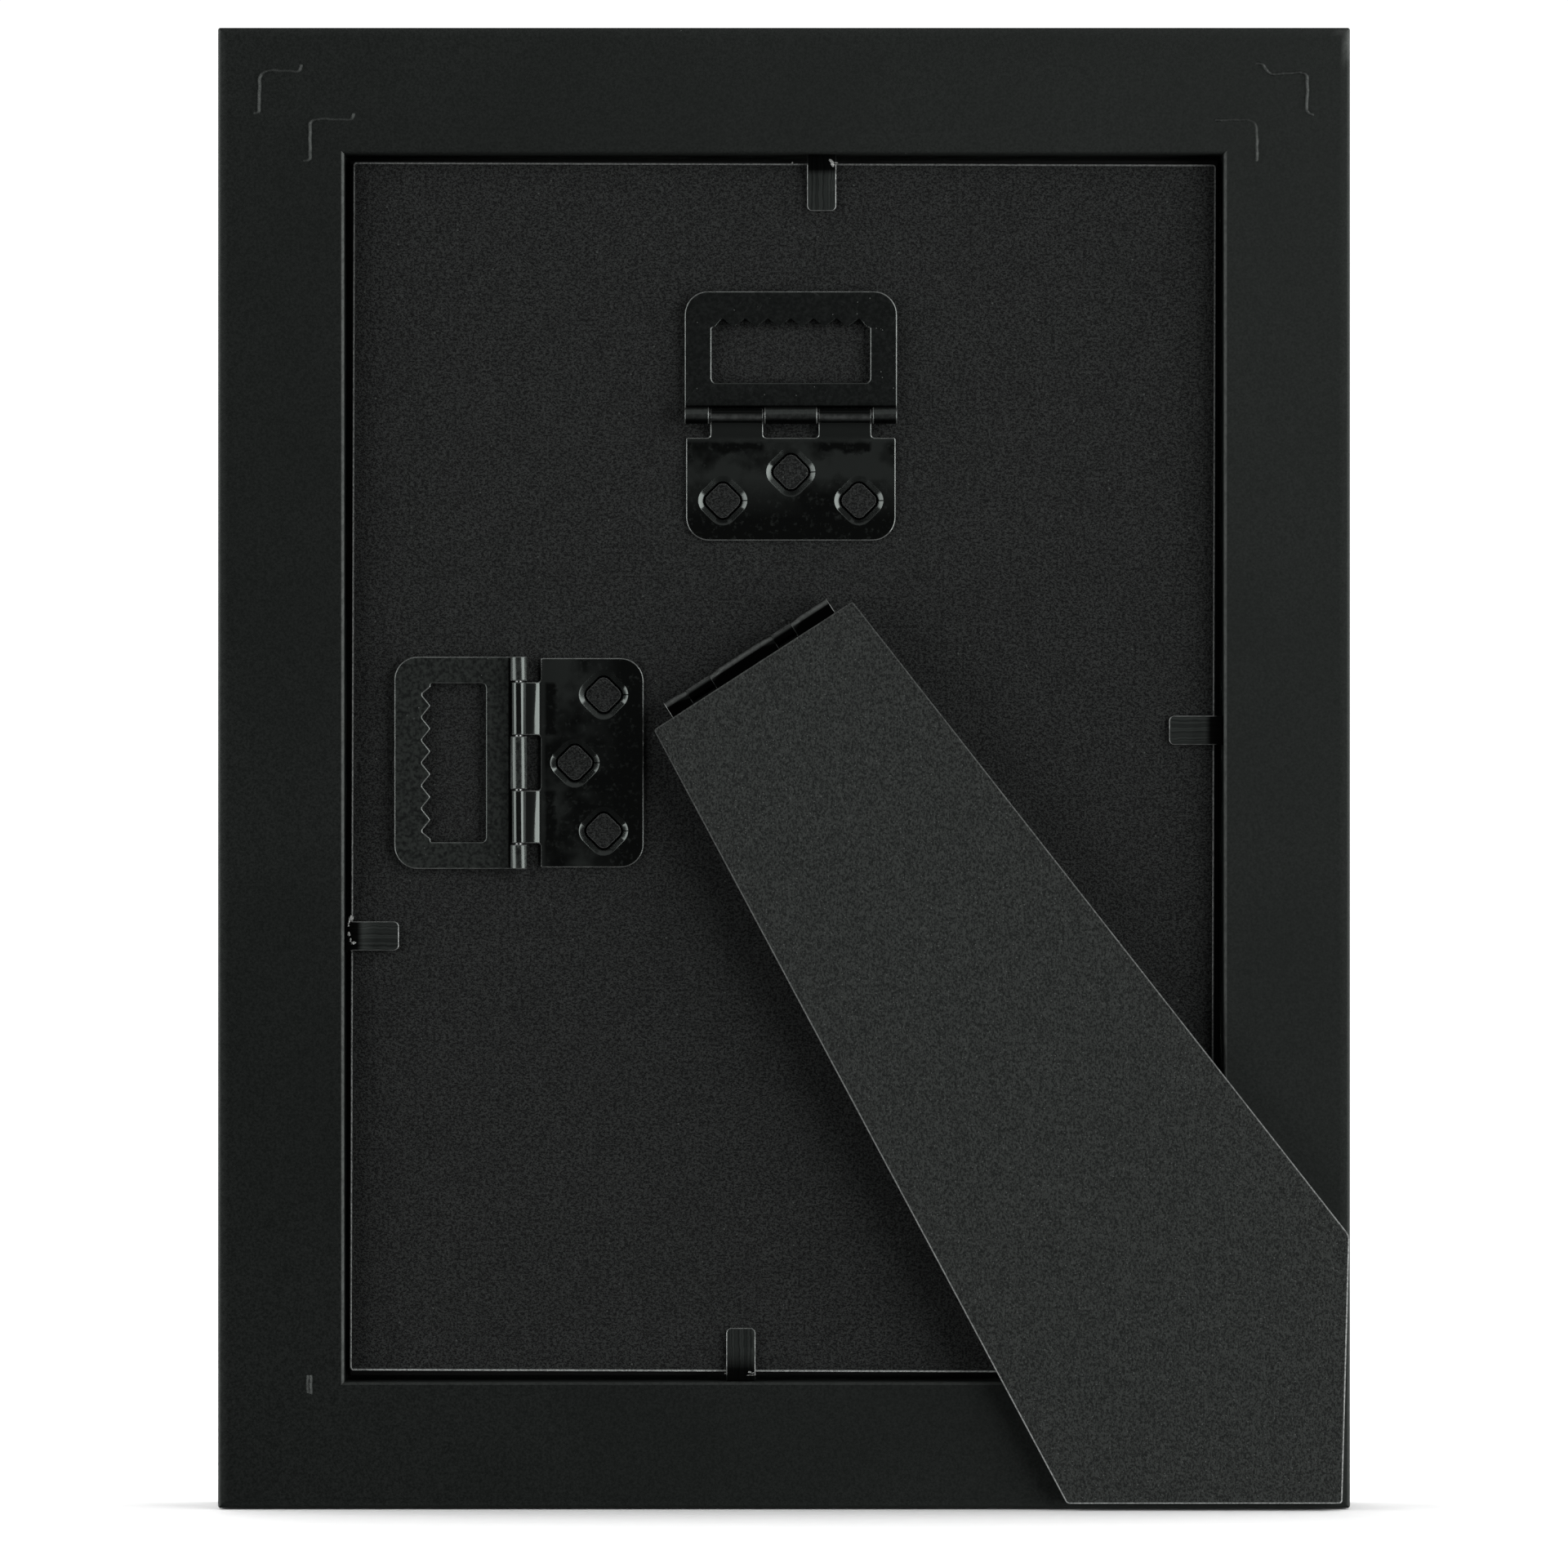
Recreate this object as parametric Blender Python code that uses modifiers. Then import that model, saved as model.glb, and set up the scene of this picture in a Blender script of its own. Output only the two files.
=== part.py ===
"""A table-top photo frame for a 5 by 7 inch print: black lacquered wood, with an easel leg that
stands it upright or on its side, and two hinged sawtooth hangers on its backing board.

It is drawn as it is seen from behind: x to the right, y up and z towards the viewer, with z = 0 on
the backing board's rear face. The empty back_view stands that drawing up, so that the finished
frame has +Z up, its glass facing -Y and its origin under the middle of its box. Left, right, top
and bottom in the names are as seen from behind.
"""

import math

import bmesh
import bpy
from mathutils import Matrix, Vector

MM = 0.001

# Glass, card and backing board
GLASS_WIDTH = 127.0 * MM
GLASS_HEIGHT = 177.8 * MM
GLASS_THICKNESS = 2.0 * MM
GLASS_CLEARANCE = 0.85 * MM
CARD_THICKNESS = 0.3 * MM
BOARD_THICKNESS = 2.5 * MM
BOARD_SIDE_CLEARANCE = 1.05 * MM
BOARD_END_CLEARANCE = 1.55 * MM
BOARD_EDGE_RADIUS = 0.25 * MM

# Moulding
RAIL_BACK_WIDTH = 18.2 * MM
LIP_REACH = 6.35 * MM
LIP_THICKNESS = 6.4 * MM
FRONT_EDGE_RADIUS = 1.2 * MM
SIGHT_EDGE_RADIUS = 1.0 * MM
BACK_EDGE_RADIUS = 1.1 * MM
REBATE_EDGE_RADIUS = 0.4 * MM
MITRE_GAP = 0.1 * MM

# Air between neighbours that rest on each other, and how far cutters run past what they cut
SEAT_GAP = 0.3 * MM
OVERRUN = 1.0 * MM

# Hinge sheet, pins and knuckles, alike on the hangers and the easel
PLATE_SHEET = 0.4 * MM
LEAF_SHEET = 0.6 * MM
PIN_RADIUS = 0.55 * MM
PIN_CLEARANCE = 0.08 * MM
PIN_SETBACK = 0.25 * MM
KNUCKLE_LIFT = 0.17 * MM
KNUCKLE_GAP = 0.2 * MM
KNUCKLE_SWEEP = math.radians(286)
NOTCH_CLEARANCE = 0.22 * MM
NOTCH_FILLET = 0.1 * MM
TONGUE_STEP = 1.0 * MM
TONGUE_RUN = 0.93 * MM
TONGUE_FILLET = 0.6 * MM
PLATE_SIDE_INSET = 0.2 * MM
SHEET_CORNER_RADIUS = 3.5 * MM

# Sawtooth hangers
HANGER_REACH = 18.2 * MM
HANGER_END_KNUCKLE = 3.55 * MM
HANGER_INNER_KNUCKLE = 7.7 * MM
WINDOW_NEAR_BAND = 3.6 * MM
WINDOW_RIM = 3.95 * MM
WINDOW_SHOULDER = 1.6 * MM
WINDOW_CORNER_RADIUS = 0.7 * MM
NOTCH_COUNT = 7
NOTCH_PITCH = 3.33 * MM
NOTCH_DEPTH = 1.35 * MM
NOTCH_RADIUS = 0.35 * MM
TOOTH_RADIUS = 0.3 * MM
TOP_HANGER_BELOW_BOARD_TOP = 18.6 * MM
TOP_HANGER_OFF_CENTRE = 1.0 * MM
SIDE_HANGER_FROM_BOARD_SIDE = 6.4 * MM
SIDE_HANGER_ABOVE_CENTRE = 0.75 * MM

# Collars punched from the hinge sheets and clinched in the boards
COLLAR_HALF_DIAGONAL = 2.93 * MM
COLLAR_CORNER_RADIUS = 1.75 * MM
COLLAR_WALL = 0.35 * MM
COLLAR_DEPTH = 1.3 * MM
COLLAR_SLIT = 0.3 * MM
COLLAR_ROLL = 0.45 * MM
COLLAR_ROLL_STEPS = 3
COLLAR_WELD = 0.3 * MM
COLLAR_WELD_INSET = 0.03 * MM
COLLAR_SIDE_INSET = 5.36 * MM
COLLAR_END_INSET = 5.86 * MM
COLLAR_BEHIND_NOTCH = 5.0 * MM
GROOVE_CLEARANCE = 0.3 * MM

# Easel leg and its hinge
EASEL_LOW_KNUCKLE = 3.6 * MM
EASEL_LOW_WAIST = 3.8 * MM
EASEL_MIDDLE_KNUCKLE = 10.6 * MM
EASEL_HIGH_WAIST = 3.1 * MM
EASEL_HIGH_KNUCKLE = 6.3 * MM
EASEL_REACH = 18.0 * MM
EASEL_BELOW_TOP_HANGER = 17.1 * MM
EASEL_FROM_SIDE_HANGER = 15.4 * MM
LEG_SLANT = math.radians(32.84)
LEG_TAPER = math.radians(4.9)
LEG_TOP_WIDTH = 34.4 * MM
LEG_BELOW_PIN = 1.3 * MM
LEG_THICKNESS = 2.4 * MM
LEG_EDGE_RADIUS = 0.25 * MM
FOOT_ABOVE_BASE = 0.95 * MM
FOOT_FROM_SIDE = 1.25 * MM
SIDE_FOOT_TILT = math.radians(1.4)

# Bendable tabs that hold the backing board
TAB_WIDTH = 4.25 * MM
TAB_SHEET = 0.35 * MM
TAB_REACH = 7.85 * MM
TAB_CORNER_RADIUS = 0.55 * MM
TAB_ROOT_HEIGHT = 1.0 * MM
TAB_ROOT_LENGTH = 1.4 * MM
TAB_SLOPE_LENGTH = 1.9 * MM
TAB_BEND_FROM_WALL = 0.25 * MM
TAB_BEND_SETBACK = 0.1 * MM
TAB_OFF_CENTRE = 5.8 * MM
TAB_BELOW_SIDE_HANGER = 9.6 * MM
SPIKE_LENGTH = 8.0 * MM
SPIKE_POINT_LENGTH = 3.0 * MM
SPIKE_TIP_WIDTH = 0.6 * MM
SPIKE_SINK = 0.05 * MM

# Nails pressed across the mitres
NAIL_ARM = 6.0 * MM
NAIL_HOOK = 0.95 * MM
NAIL_SHEET = 0.4 * MM
NAIL_DEPTH = 7.0 * MM
NAIL_SINK = 0.1 * MM
OUTER_NAIL_INSET = 5.85 * MM
INNER_NAIL_INSET = 13.35 * MM
SLOT_CLEARANCE = 0.25 * MM

# Fineness of arcs
ARC_STEP = math.radians(18)
COLLAR_ARC_STEP = math.radians(22.5)
KNUCKLE_ARC_STEP = math.radians(19)
PIN_SIDES = 20
WELD_DISTANCE = 0.0005 * MM

# Widths and heights
opening_width = GLASS_WIDTH + 2 * GLASS_CLEARANCE
opening_height = GLASS_HEIGHT + 2 * GLASS_CLEARANCE
outer_width = opening_width + 2 * RAIL_BACK_WIDTH
outer_height = opening_height + 2 * RAIL_BACK_WIDTH
middle_height = outer_height / 2
board_width = opening_width - 2 * BOARD_SIDE_CLEARANCE
board_height = opening_height - 2 * BOARD_END_CLEARANCE

# Knuckles, measured from the pin
bore_radius = PIN_RADIUS + PIN_CLEARANCE
plate_knuckle_radius = bore_radius + PLATE_SHEET
leaf_knuckle_radius = bore_radius + LEAF_SHEET
leaf_notch_edge = plate_knuckle_radius + NOTCH_CLEARANCE
plate_notch_edge = leaf_knuckle_radius + TONGUE_RUN + TONGUE_STEP

# Levels from front to back
pin_level = SEAT_GAP + KNUCKLE_LIFT + leaf_knuckle_radius
rail_rear = pin_level + leaf_knuckle_radius
leg_inner = rail_rear + SEAT_GAP
leg_outer = leg_inner + LEG_THICKNESS
card_rear = -BOARD_THICKNESS - SEAT_GAP
glass_rear = card_rear - CARD_THICKNESS - SEAT_GAP
lip_rear = glass_rear - GLASS_THICKNESS - SEAT_GAP
rail_front = lip_rear - LIP_THICKNESS

# Where the hinges' pins lie
top_pin_height = middle_height + board_height / 2 - TOP_HANGER_BELOW_BOARD_TOP - HANGER_REACH
side_pin_across = SIDE_HANGER_FROM_BOARD_SIDE + HANGER_REACH - board_width / 2
side_pin_height = middle_height + SIDE_HANGER_ABOVE_CENTRE
easel_pin_across = side_pin_across + HANGER_REACH + EASEL_FROM_SIDE_HANGER
easel_pin_height = top_pin_height - HANGER_REACH - EASEL_BELOW_TOP_HANGER


def new_collection(name):
    made = bpy.data.collections.new(name)
    bpy.context.scene.collection.children.link(made)
    return made


for old in list(bpy.data.objects):
    bpy.data.objects.remove(old)
PIECES = new_collection("photo_frame")
CUTTERS = new_collection("cutters")


# Materials, with colours as linear values


def material(name, colour, roughness, metallic=0.0):
    made = bpy.data.materials.new(name)
    made.use_nodes = True
    shader = made.node_tree.nodes["Principled BSDF"]
    shader.inputs["Base Color"].default_value = (*colour, 1)
    shader.inputs["Roughness"].default_value = roughness
    shader.inputs["Metallic"].default_value = metallic
    return made


LACQUER = material("black_lacquer", (0.012, 0.012, 0.012), 0.5)
GLASS = material("clear_glass", (0.8, 0.86, 0.84), 0.05)
CARD = material("white_card", (0.78, 0.77, 0.73), 0.9)
BLACK_PAPER = material("black_paper_board", (0.016, 0.016, 0.016), 0.9)
CHARCOAL_PAPER = material("charcoal_paper_board", (0.026, 0.026, 0.026), 0.9)
BLACK_ENAMEL = material("black_enamelled_steel", (0.01, 0.01, 0.01), 0.25, 0.3)
DARK_STEEL = material("dark_spring_steel", (0.05, 0.05, 0.05), 0.5, 0.7)
BRIGHT_STEEL = material("bright_steel", (0.35, 0.35, 0.35), 0.35, 1.0)


# Outlines


def rounded(corners, arc_step=ARC_STEP):
    """Points of a closed outline. A corner is (x, y) if it is sharp and (x, y, radius) if filleted."""
    points = []
    for i, corner in enumerate(corners):
        here = Vector(corner[:2])
        if len(corner) == 2:
            points.append(here)
            continue
        back = (Vector(corners[i - 1][:2]) - here).normalized()
        ahead = (Vector(corners[(i + 1) % len(corners)][:2]) - here).normalized()
        half = back.angle(ahead) / 2
        centre = here + (back + ahead).normalized() * corner[2] / math.sin(half)
        start = here + back * corner[2] / math.tan(half) - centre
        end = here + ahead * corner[2] / math.tan(half) - centre
        sweep = math.atan2(start.cross(end), start.dot(end))
        steps = max(1, round(abs(sweep) / arc_step))
        for step in range(steps + 1):
            points.append(centre + Matrix.Rotation(sweep * step / steps, 2) @ start)
    return points


def flipped(outline):
    """An outline with up and down swapped."""
    return [Vector((point.x, -point.y)) for point in reversed(outline)]


def strip(path, thickness):
    """The outline of a strip of sheet metal, seen edge on, that follows an open path."""
    points = [Vector(point) for point in path]
    left = []
    right = []
    for i, point in enumerate(points):
        arriving = (point - points[max(i, 1) - 1]).normalized() if i else None
        leaving = (points[i + 1] - point).normalized() if i < len(points) - 1 else arriving
        arriving = arriving or leaving
        ahead = (arriving + leaving).normalized()
        across = Vector((-ahead.y, ahead.x)) * thickness / 2 / ahead.dot(leaving)
        left.append(point + across)
        right.append(point - across)
    return left + right[::-1]


def diamond(centre, offset):
    """A rounded square on its corner, offset outwards from the middle of a collar's wall."""
    radius = COLLAR_CORNER_RADIUS + offset
    reach = COLLAR_HALF_DIAGONAL + offset + radius * (math.sqrt(2) - 1)
    x, y = centre
    corners = [(x + reach, y), (x, y + reach), (x - reach, y), (x, y - reach)]
    return rounded([(*corner, radius) for corner in corners], COLLAR_ARC_STEP)


def crossing(point, angle, other_point, other_angle):
    """Where two lines cross, each given by a point and an angle."""
    along = Vector((math.cos(angle), math.sin(angle)))
    other = Vector((math.cos(other_angle), math.sin(other_angle)))
    return point + along * (other_point - point).cross(other) / along.cross(other)


# Solids


def add_object(name, mesh, collection):
    made = bpy.data.objects.new(name, mesh)
    collection.objects.link(made)
    return made


def add_spline(curve, points, closed=True):
    spline = curve.splines.new("POLY")
    spline.points.add(len(points) - 1)
    for slot, point in zip(spline.points, points):
        slot.co = (point[0], point[1], 0, 1)
    spline.use_cyclic_u = closed


def solid_from_curve(name, curve, collection):
    """Makes a curve a closed mesh, with its caps welded to its sides."""
    drawn = add_object(name + "_curve", curve, bpy.context.scene.collection)
    graph = bpy.context.evaluated_depsgraph_get()
    mesh = bpy.data.meshes.new_from_object(drawn.evaluated_get(graph))
    bpy.data.objects.remove(drawn)
    mesh.name = name
    work = bmesh.new()
    work.from_mesh(mesh)
    bmesh.ops.remove_doubles(work, verts=work.verts, dist=WELD_DISTANCE)
    bmesh.ops.recalc_face_normals(work, faces=work.faces)
    work.to_mesh(mesh)
    work.free()
    return add_object(name, mesh, collection)


def prism(name, outlines, low, high, collection=PIECES):
    """A flat piece between two levels. The first outline is its edge and the others are holes."""
    curve = bpy.data.curves.new(name, "CURVE")
    curve.dimensions = "2D"
    curve.fill_mode = "BOTH"
    curve.extrude = (high - low) / 2
    for outline in outlines:
        add_spline(curve, outline)
    made = solid_from_curve(name, curve, collection)
    made.data.transform(Matrix.Translation((0, 0, (low + high) / 2)))
    return made


def extrusion(name, section, length, collection=PIECES):
    """A section drawn as (y, z), run along x to half the length each way."""
    made = prism(name, [section], -length / 2, length / 2, collection)
    made.data.transform(Matrix(((0, 0, 1, 0), (1, 0, 0, 0), (0, 1, 0, 0), (0, 0, 0, 1))))
    return made


def moulding(name, paths, section, closed, collection=CUTTERS):
    """A section drawn as (outwards, z), run along anticlockwise paths."""
    outline = bpy.data.curves.new(name + "_section", "CURVE")
    outline.dimensions = "2D"
    add_spline(outline, section)
    guide = add_object(name + "_section", outline, bpy.context.scene.collection)
    curve = bpy.data.curves.new(name, "CURVE")
    curve.dimensions = "2D"
    curve.fill_mode = "NONE"
    curve.bevel_mode = "OBJECT"
    curve.bevel_object = guide
    curve.use_fill_caps = True
    for path in paths:
        add_spline(curve, path, closed)
    made = solid_from_curve(name, curve, collection)
    bpy.data.objects.remove(guide)
    return made


def box(name, size, centre, collection=PIECES):
    mesh = bpy.data.meshes.new(name)
    work = bmesh.new()
    place = Matrix.Translation(centre) @ Matrix.Diagonal((*size, 1))
    bmesh.ops.create_cube(work, size=1, matrix=place)
    work.to_mesh(mesh)
    work.free()
    return add_object(name, mesh, collection)


def rod(name, radius, length):
    """A round rod along x."""
    mesh = bpy.data.meshes.new(name)
    work = bmesh.new()
    turn = Matrix.Rotation(math.pi / 2, 4, "Y")
    bmesh.ops.create_cone(
        work, cap_ends=True, segments=PIN_SIDES, radius1=radius, radius2=radius, depth=length, matrix=turn
    )
    work.to_mesh(mesh)
    work.free()
    return add_object(name, mesh, PIECES)


def soften(made, radius):
    """Rounds the edges of a piece a little."""
    modifier = made.modifiers.new("softened_edges", "BEVEL")
    modifier.width = radius
    modifier.segments = 2
    modifier.limit_method = "ANGLE"


def combine(target, operation, tool):
    """Cuts, joins or intersects a piece with another solid."""
    modifier = target.modifiers.new(operation.lower() + "_" + tool.name, "BOOLEAN")
    modifier.operation = operation
    modifier.object = tool
    tool.hide_render = True
    tool.display_type = "WIRE"


def empty_at(name, parent, place=(0, 0, 0), turn=0.0):
    """A frame to draw in, turned anticlockwise as it is seen from behind."""
    made = add_object(name, None, PIECES)
    made.parent = parent
    made.location = place
    made.rotation_euler.z = turn
    return made


def finish(made, parent, surface):
    """Gives a piece its parent, material and shading."""
    made.parent = parent
    made.data.materials.append(surface)
    made.data.shade_smooth()
    made.data.set_sharp_from_angle(angle=math.radians(35))
    return made


# Moulding, glass, card and backing board


def rail_section():
    """The moulding, as (distance in from its outer edge, level)."""
    sight_edge = RAIL_BACK_WIDTH + LIP_REACH
    return rounded([
        (0, rail_front, FRONT_EDGE_RADIUS),
        (sight_edge, rail_front, SIGHT_EDGE_RADIUS),
        (sight_edge, lip_rear),
        (RAIL_BACK_WIDTH, lip_rear),
        (RAIL_BACK_WIDTH, rail_rear, REBATE_EDGE_RADIUS),
        (0, rail_rear, BACK_EDGE_RADIUS),
    ])


def make_rail(name, parent, outer_length):
    """A rail mitred at both ends: each end's points slide in by as much as they lie inside the edge."""
    rail = extrusion(name, rail_section(), outer_length)
    for vertex in rail.data.vertices:
        cut_back = vertex.co.y + MITRE_GAP
        vertex.co.x = math.copysign(outer_length / 2 - cut_back, vertex.co.x)
    return finish(rail, parent, LACQUER)


def make_flat_pieces(back):
    """Glass, blank card and backing board, stacked behind the lip."""
    glass = box(
        "glass_pane",
        (GLASS_WIDTH, GLASS_HEIGHT, GLASS_THICKNESS),
        (0, middle_height, glass_rear - GLASS_THICKNESS / 2),
    )
    finish(glass, back, GLASS)
    card = box(
        "insert_card",
        (GLASS_WIDTH, GLASS_HEIGHT, CARD_THICKNESS),
        (0, middle_height, card_rear - CARD_THICKNESS / 2),
    )
    finish(card, back, CARD)
    board = box(
        "backing_board",
        (board_width, board_height, BOARD_THICKNESS),
        (0, middle_height, -BOARD_THICKNESS / 2),
    )
    soften(board, BOARD_EDGE_RADIUS)
    return finish(board, back, BLACK_PAPER)


# Nails across the mitres


def nail_path(extra=0.0):
    """A nail's centre line seen from behind: an arm along each rail, its end hooked outwards."""
    hook = -NAIL_HOOK - extra
    return [(NAIL_ARM, hook), (NAIL_ARM, 0), (0, 0), (0, NAIL_ARM), (hook, NAIL_ARM)]


def make_nail(name, corner, inset, rails):
    """A V-nail whose point faces the frame's corner, and its slots in the two rails that meet there."""
    seat = empty_at(name + "_seat", corner, (inset, inset, 0))
    top = rail_rear - NAIL_SINK
    nail = prism(name, [strip(nail_path(), NAIL_SHEET)], top - NAIL_DEPTH, top)
    finish(nail, seat, DARK_STEEL)
    slot_outline = strip(nail_path(SLOT_CLEARANCE), NAIL_SHEET + 2 * SLOT_CLEARANCE)
    slot_bottom = top - NAIL_DEPTH - SLOT_CLEARANCE
    slot = prism(name + "_slot", [slot_outline], slot_bottom, rail_rear + OVERRUN, CUTTERS)
    slot.parent = seat
    for rail in rails:
        combine(rail, "DIFFERENCE", slot)


# Bendable tabs, drawn from the line they bend on: x along the wall and y into the opening


def make_tab(name, bend, rail):
    """A steel tab: its tongue bends over the board, and its spike is fixed in the rail."""
    drop = TAB_ROOT_HEIGHT - SEAT_GAP - TAB_SHEET / 2
    slope_end = TAB_ROOT_LENGTH + TAB_SLOPE_LENGTH
    past_end = TAB_REACH + OVERRUN
    path = [(TAB_BEND_SETBACK, 0), (TAB_ROOT_LENGTH, 0), (slope_end, -drop), (past_end, -drop)]
    tongue = extrusion(name, strip(path, TAB_SHEET), TAB_WIDTH + 2 * OVERRUN)
    side = TAB_WIDTH / 2
    blank_outline = rounded([
        (-side, 0),
        (side, 0),
        (side, TAB_REACH, TAB_CORNER_RADIUS),
        (-side, TAB_REACH, TAB_CORNER_RADIUS),
    ])
    blank = prism(name + "_blank", [blank_outline], -drop - OVERRUN, OVERRUN, CUTTERS)
    blank.parent = bend
    combine(tongue, "INTERSECT", blank)
    finish(tongue, bend, DARK_STEEL)

    wall = -TAB_BEND_FROM_WALL
    base = wall - SPIKE_SINK
    shoulder = wall - SPIKE_LENGTH + SPIKE_POINT_LENGTH
    point = wall - SPIKE_LENGTH
    tip = SPIKE_TIP_WIDTH / 2
    spike_outline = rounded([
        (-side, base), (-side, shoulder), (-tip, point), (tip, point), (side, shoulder), (side, base)
    ])
    spike = prism(name + "_spike", [spike_outline], -TAB_SHEET / 2, TAB_SHEET / 2)
    finish(spike, bend, DARK_STEEL)

    slot_length = SPIKE_LENGTH + SLOT_CLEARANCE + TAB_BEND_FROM_WALL
    slot_width = TAB_WIDTH + 2 * SLOT_CLEARANCE
    slot_height = TAB_SHEET + 2 * SLOT_CLEARANCE
    slot = box(name + "_slot", (slot_width, slot_length, slot_height), (0, -slot_length / 2, 0), CUTTERS)
    slot.parent = bend
    combine(rail, "DIFFERENCE", slot)


# Hinges, drawn from the middle of the pin, with x along it


def knuckle_spans(lengths):
    """The stretch of the pin that each knuckle takes, one after another and centred."""
    start = -(sum(lengths) + KNUCKLE_GAP * (len(lengths) - 1)) / 2
    spans = []
    for length in lengths:
        spans.append((start, start + length))
        start += length + KNUCKLE_GAP
    return spans


def sheet_blank(spans, notch_edge, half_width, reach, notch_fillet):
    """A hinge sheet before it is rolled: tongues below y = 0 and a plate with round far corners above."""
    tip = -leaf_knuckle_radius - OVERRUN
    corners = []
    for left, right in spans:
        corners += [(left, notch_edge, notch_fillet), (left, tip)]
        corners += [(right, tip), (right, notch_edge, notch_fillet)]
    if spans[0][0] <= -half_width:
        corners = corners[1:-1]
    else:
        corners = [(-half_width, notch_edge)] + corners + [(half_width, notch_edge)]
    corners += [(half_width, reach, SHEET_CORNER_RADIUS), (-half_width, reach, SHEET_CORNER_RADIUS)]
    return rounded(corners)


def rolled_path(sheet, reach, side, face, level=None):
    """The middle of a sheet seen along the pin, as (y, z): flat, then curled round the pin.

    side is the side of the pin on which the plate lies, and face says whether it meets the barrel
    on top (1) or underneath (-1). A plate at another level steps over to the barrel.
    """
    radius = bore_radius + sheet / 2
    path = []
    if level is None:
        path.append((side * (reach + OVERRUN), face * radius))
    else:
        path.append((side * (reach + OVERRUN), level))
        path.append((side * plate_notch_edge, level))
        path.append((side * (plate_notch_edge - TONGUE_STEP), face * radius))
    steps = round(KNUCKLE_SWEEP / KNUCKLE_ARC_STEP)
    for step in range(steps + 1):
        angle = KNUCKLE_SWEEP * step / steps
        path.append((-side * radius * math.sin(angle), face * radius * math.cos(angle)))
    return path


def rolled_sheet(name, pin, path, sheet, outlines):
    """A strip bent along the path, left only where the flat outlines have metal."""
    levels = [z for _, z in path]
    width = 2 * max(point.x for point in outlines[0])
    made = extrusion(name, strip(path, sheet), width + 2 * OVERRUN)
    blank = prism(name + "_blank", outlines, min(levels) - OVERRUN, max(levels) + OVERRUN, CUTTERS)
    blank.parent = pin
    combine(made, "INTERSECT", blank)
    return finish(made, pin, BLACK_ENAMEL)


def collar_places(half_width, reach):
    """Three collars: one behind the middle notch and two in the far corners."""
    side = half_width - COLLAR_SIDE_INSET
    far = -reach + COLLAR_END_INSET
    return [(-side, far), (0, -plate_notch_edge - COLLAR_BEHIND_NOTCH), (side, far)]


def collar_holes(places):
    """The holes in a sheet whose edges roll over into collars."""
    return [diamond(place, COLLAR_ROLL + COLLAR_WELD / 2) for place in places]


def collar_section(sheet, surface, inwards):
    """A collar's wall in its board, as (outwards, level), rolled over at the sheet's hole."""
    wall = COLLAR_WALL / 2
    under = SEAT_GAP + COLLAR_WELD_INSET
    top = SEAT_GAP + sheet - COLLAR_WELD_INSET
    rim = COLLAR_ROLL + COLLAR_WELD
    points = [(-wall, -COLLAR_DEPTH), (wall, -COLLAR_DEPTH), (wall, 0)]
    points += [(COLLAR_ROLL, under), (rim, under), (rim, top)]
    for step in range(COLLAR_ROLL_STEPS + 1):
        angle = math.pi / 2 * step / COLLAR_ROLL_STEPS
        across = COLLAR_ROLL - (COLLAR_ROLL + wall) * math.sin(angle)
        points.append((across, top * math.cos(angle)))
    return [(across, surface - inwards * height) for across, height in points]


def split_ring(ring):
    """A ring opened by a slit at its rightmost point."""
    split = max(range(len(ring)), key=lambda k: ring[k].x)
    path = ring[split:] + ring[: split + 1]
    half_slit = Vector((0, COLLAR_SLIT / 2))
    return [path[0] + half_slit] + path[1:-1] + [path[-1] - half_slit]


def add_collars(sheet_object, board, pin, places, sheet, surface, inwards):
    """Clinches a sheet to a board: split collars on the sheet, in ring-shaped grooves in the board."""
    section = collar_section(sheet, surface, inwards)
    side = COLLAR_WALL / 2 + GROOVE_CLEARANCE
    bottom = -COLLAR_DEPTH - GROOVE_CLEARANCE
    groove_section = [(-side, bottom), (side, bottom), (side, OVERRUN), (-side, OVERRUN)]
    groove_section = [(across, surface - inwards * height) for across, height in groove_section]
    rings = [diamond(place, 0) for place in places]
    collars = moulding(sheet_object.name + "_collars", [split_ring(ring) for ring in rings], section, False)
    grooves = moulding(sheet_object.name + "_grooves", rings, groove_section, True)
    collars.parent = pin
    grooves.parent = pin
    combine(sheet_object, "UNION", collars)
    combine(board, "DIFFERENCE", grooves)


def make_plate(name, pin, spans, half_width, reach, board):
    """The fixed sheet of a hinge, clinched to the backing board below the pin."""
    board_level = -pin_level
    plate_half = half_width - PLATE_SIDE_INSET
    places = collar_places(plate_half, reach)
    outline = flipped(sheet_blank(spans[1::2], plate_notch_edge, plate_half, reach, TONGUE_FILLET))
    path = rolled_path(PLATE_SHEET, reach, -1, -1, board_level + SEAT_GAP + PLATE_SHEET / 2)
    plate = rolled_sheet(name, pin, path, PLATE_SHEET, [outline] + collar_holes(places))
    add_collars(plate, board, pin, places, PLATE_SHEET, board_level, -1)


def make_pin(name, pin, half_width):
    """The wire that holds the knuckles together, a little shorter than the barrel."""
    finish(rod(name, PIN_RADIUS, 2 * (half_width - PIN_SETBACK)), pin, BRIGHT_STEEL)


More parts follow.
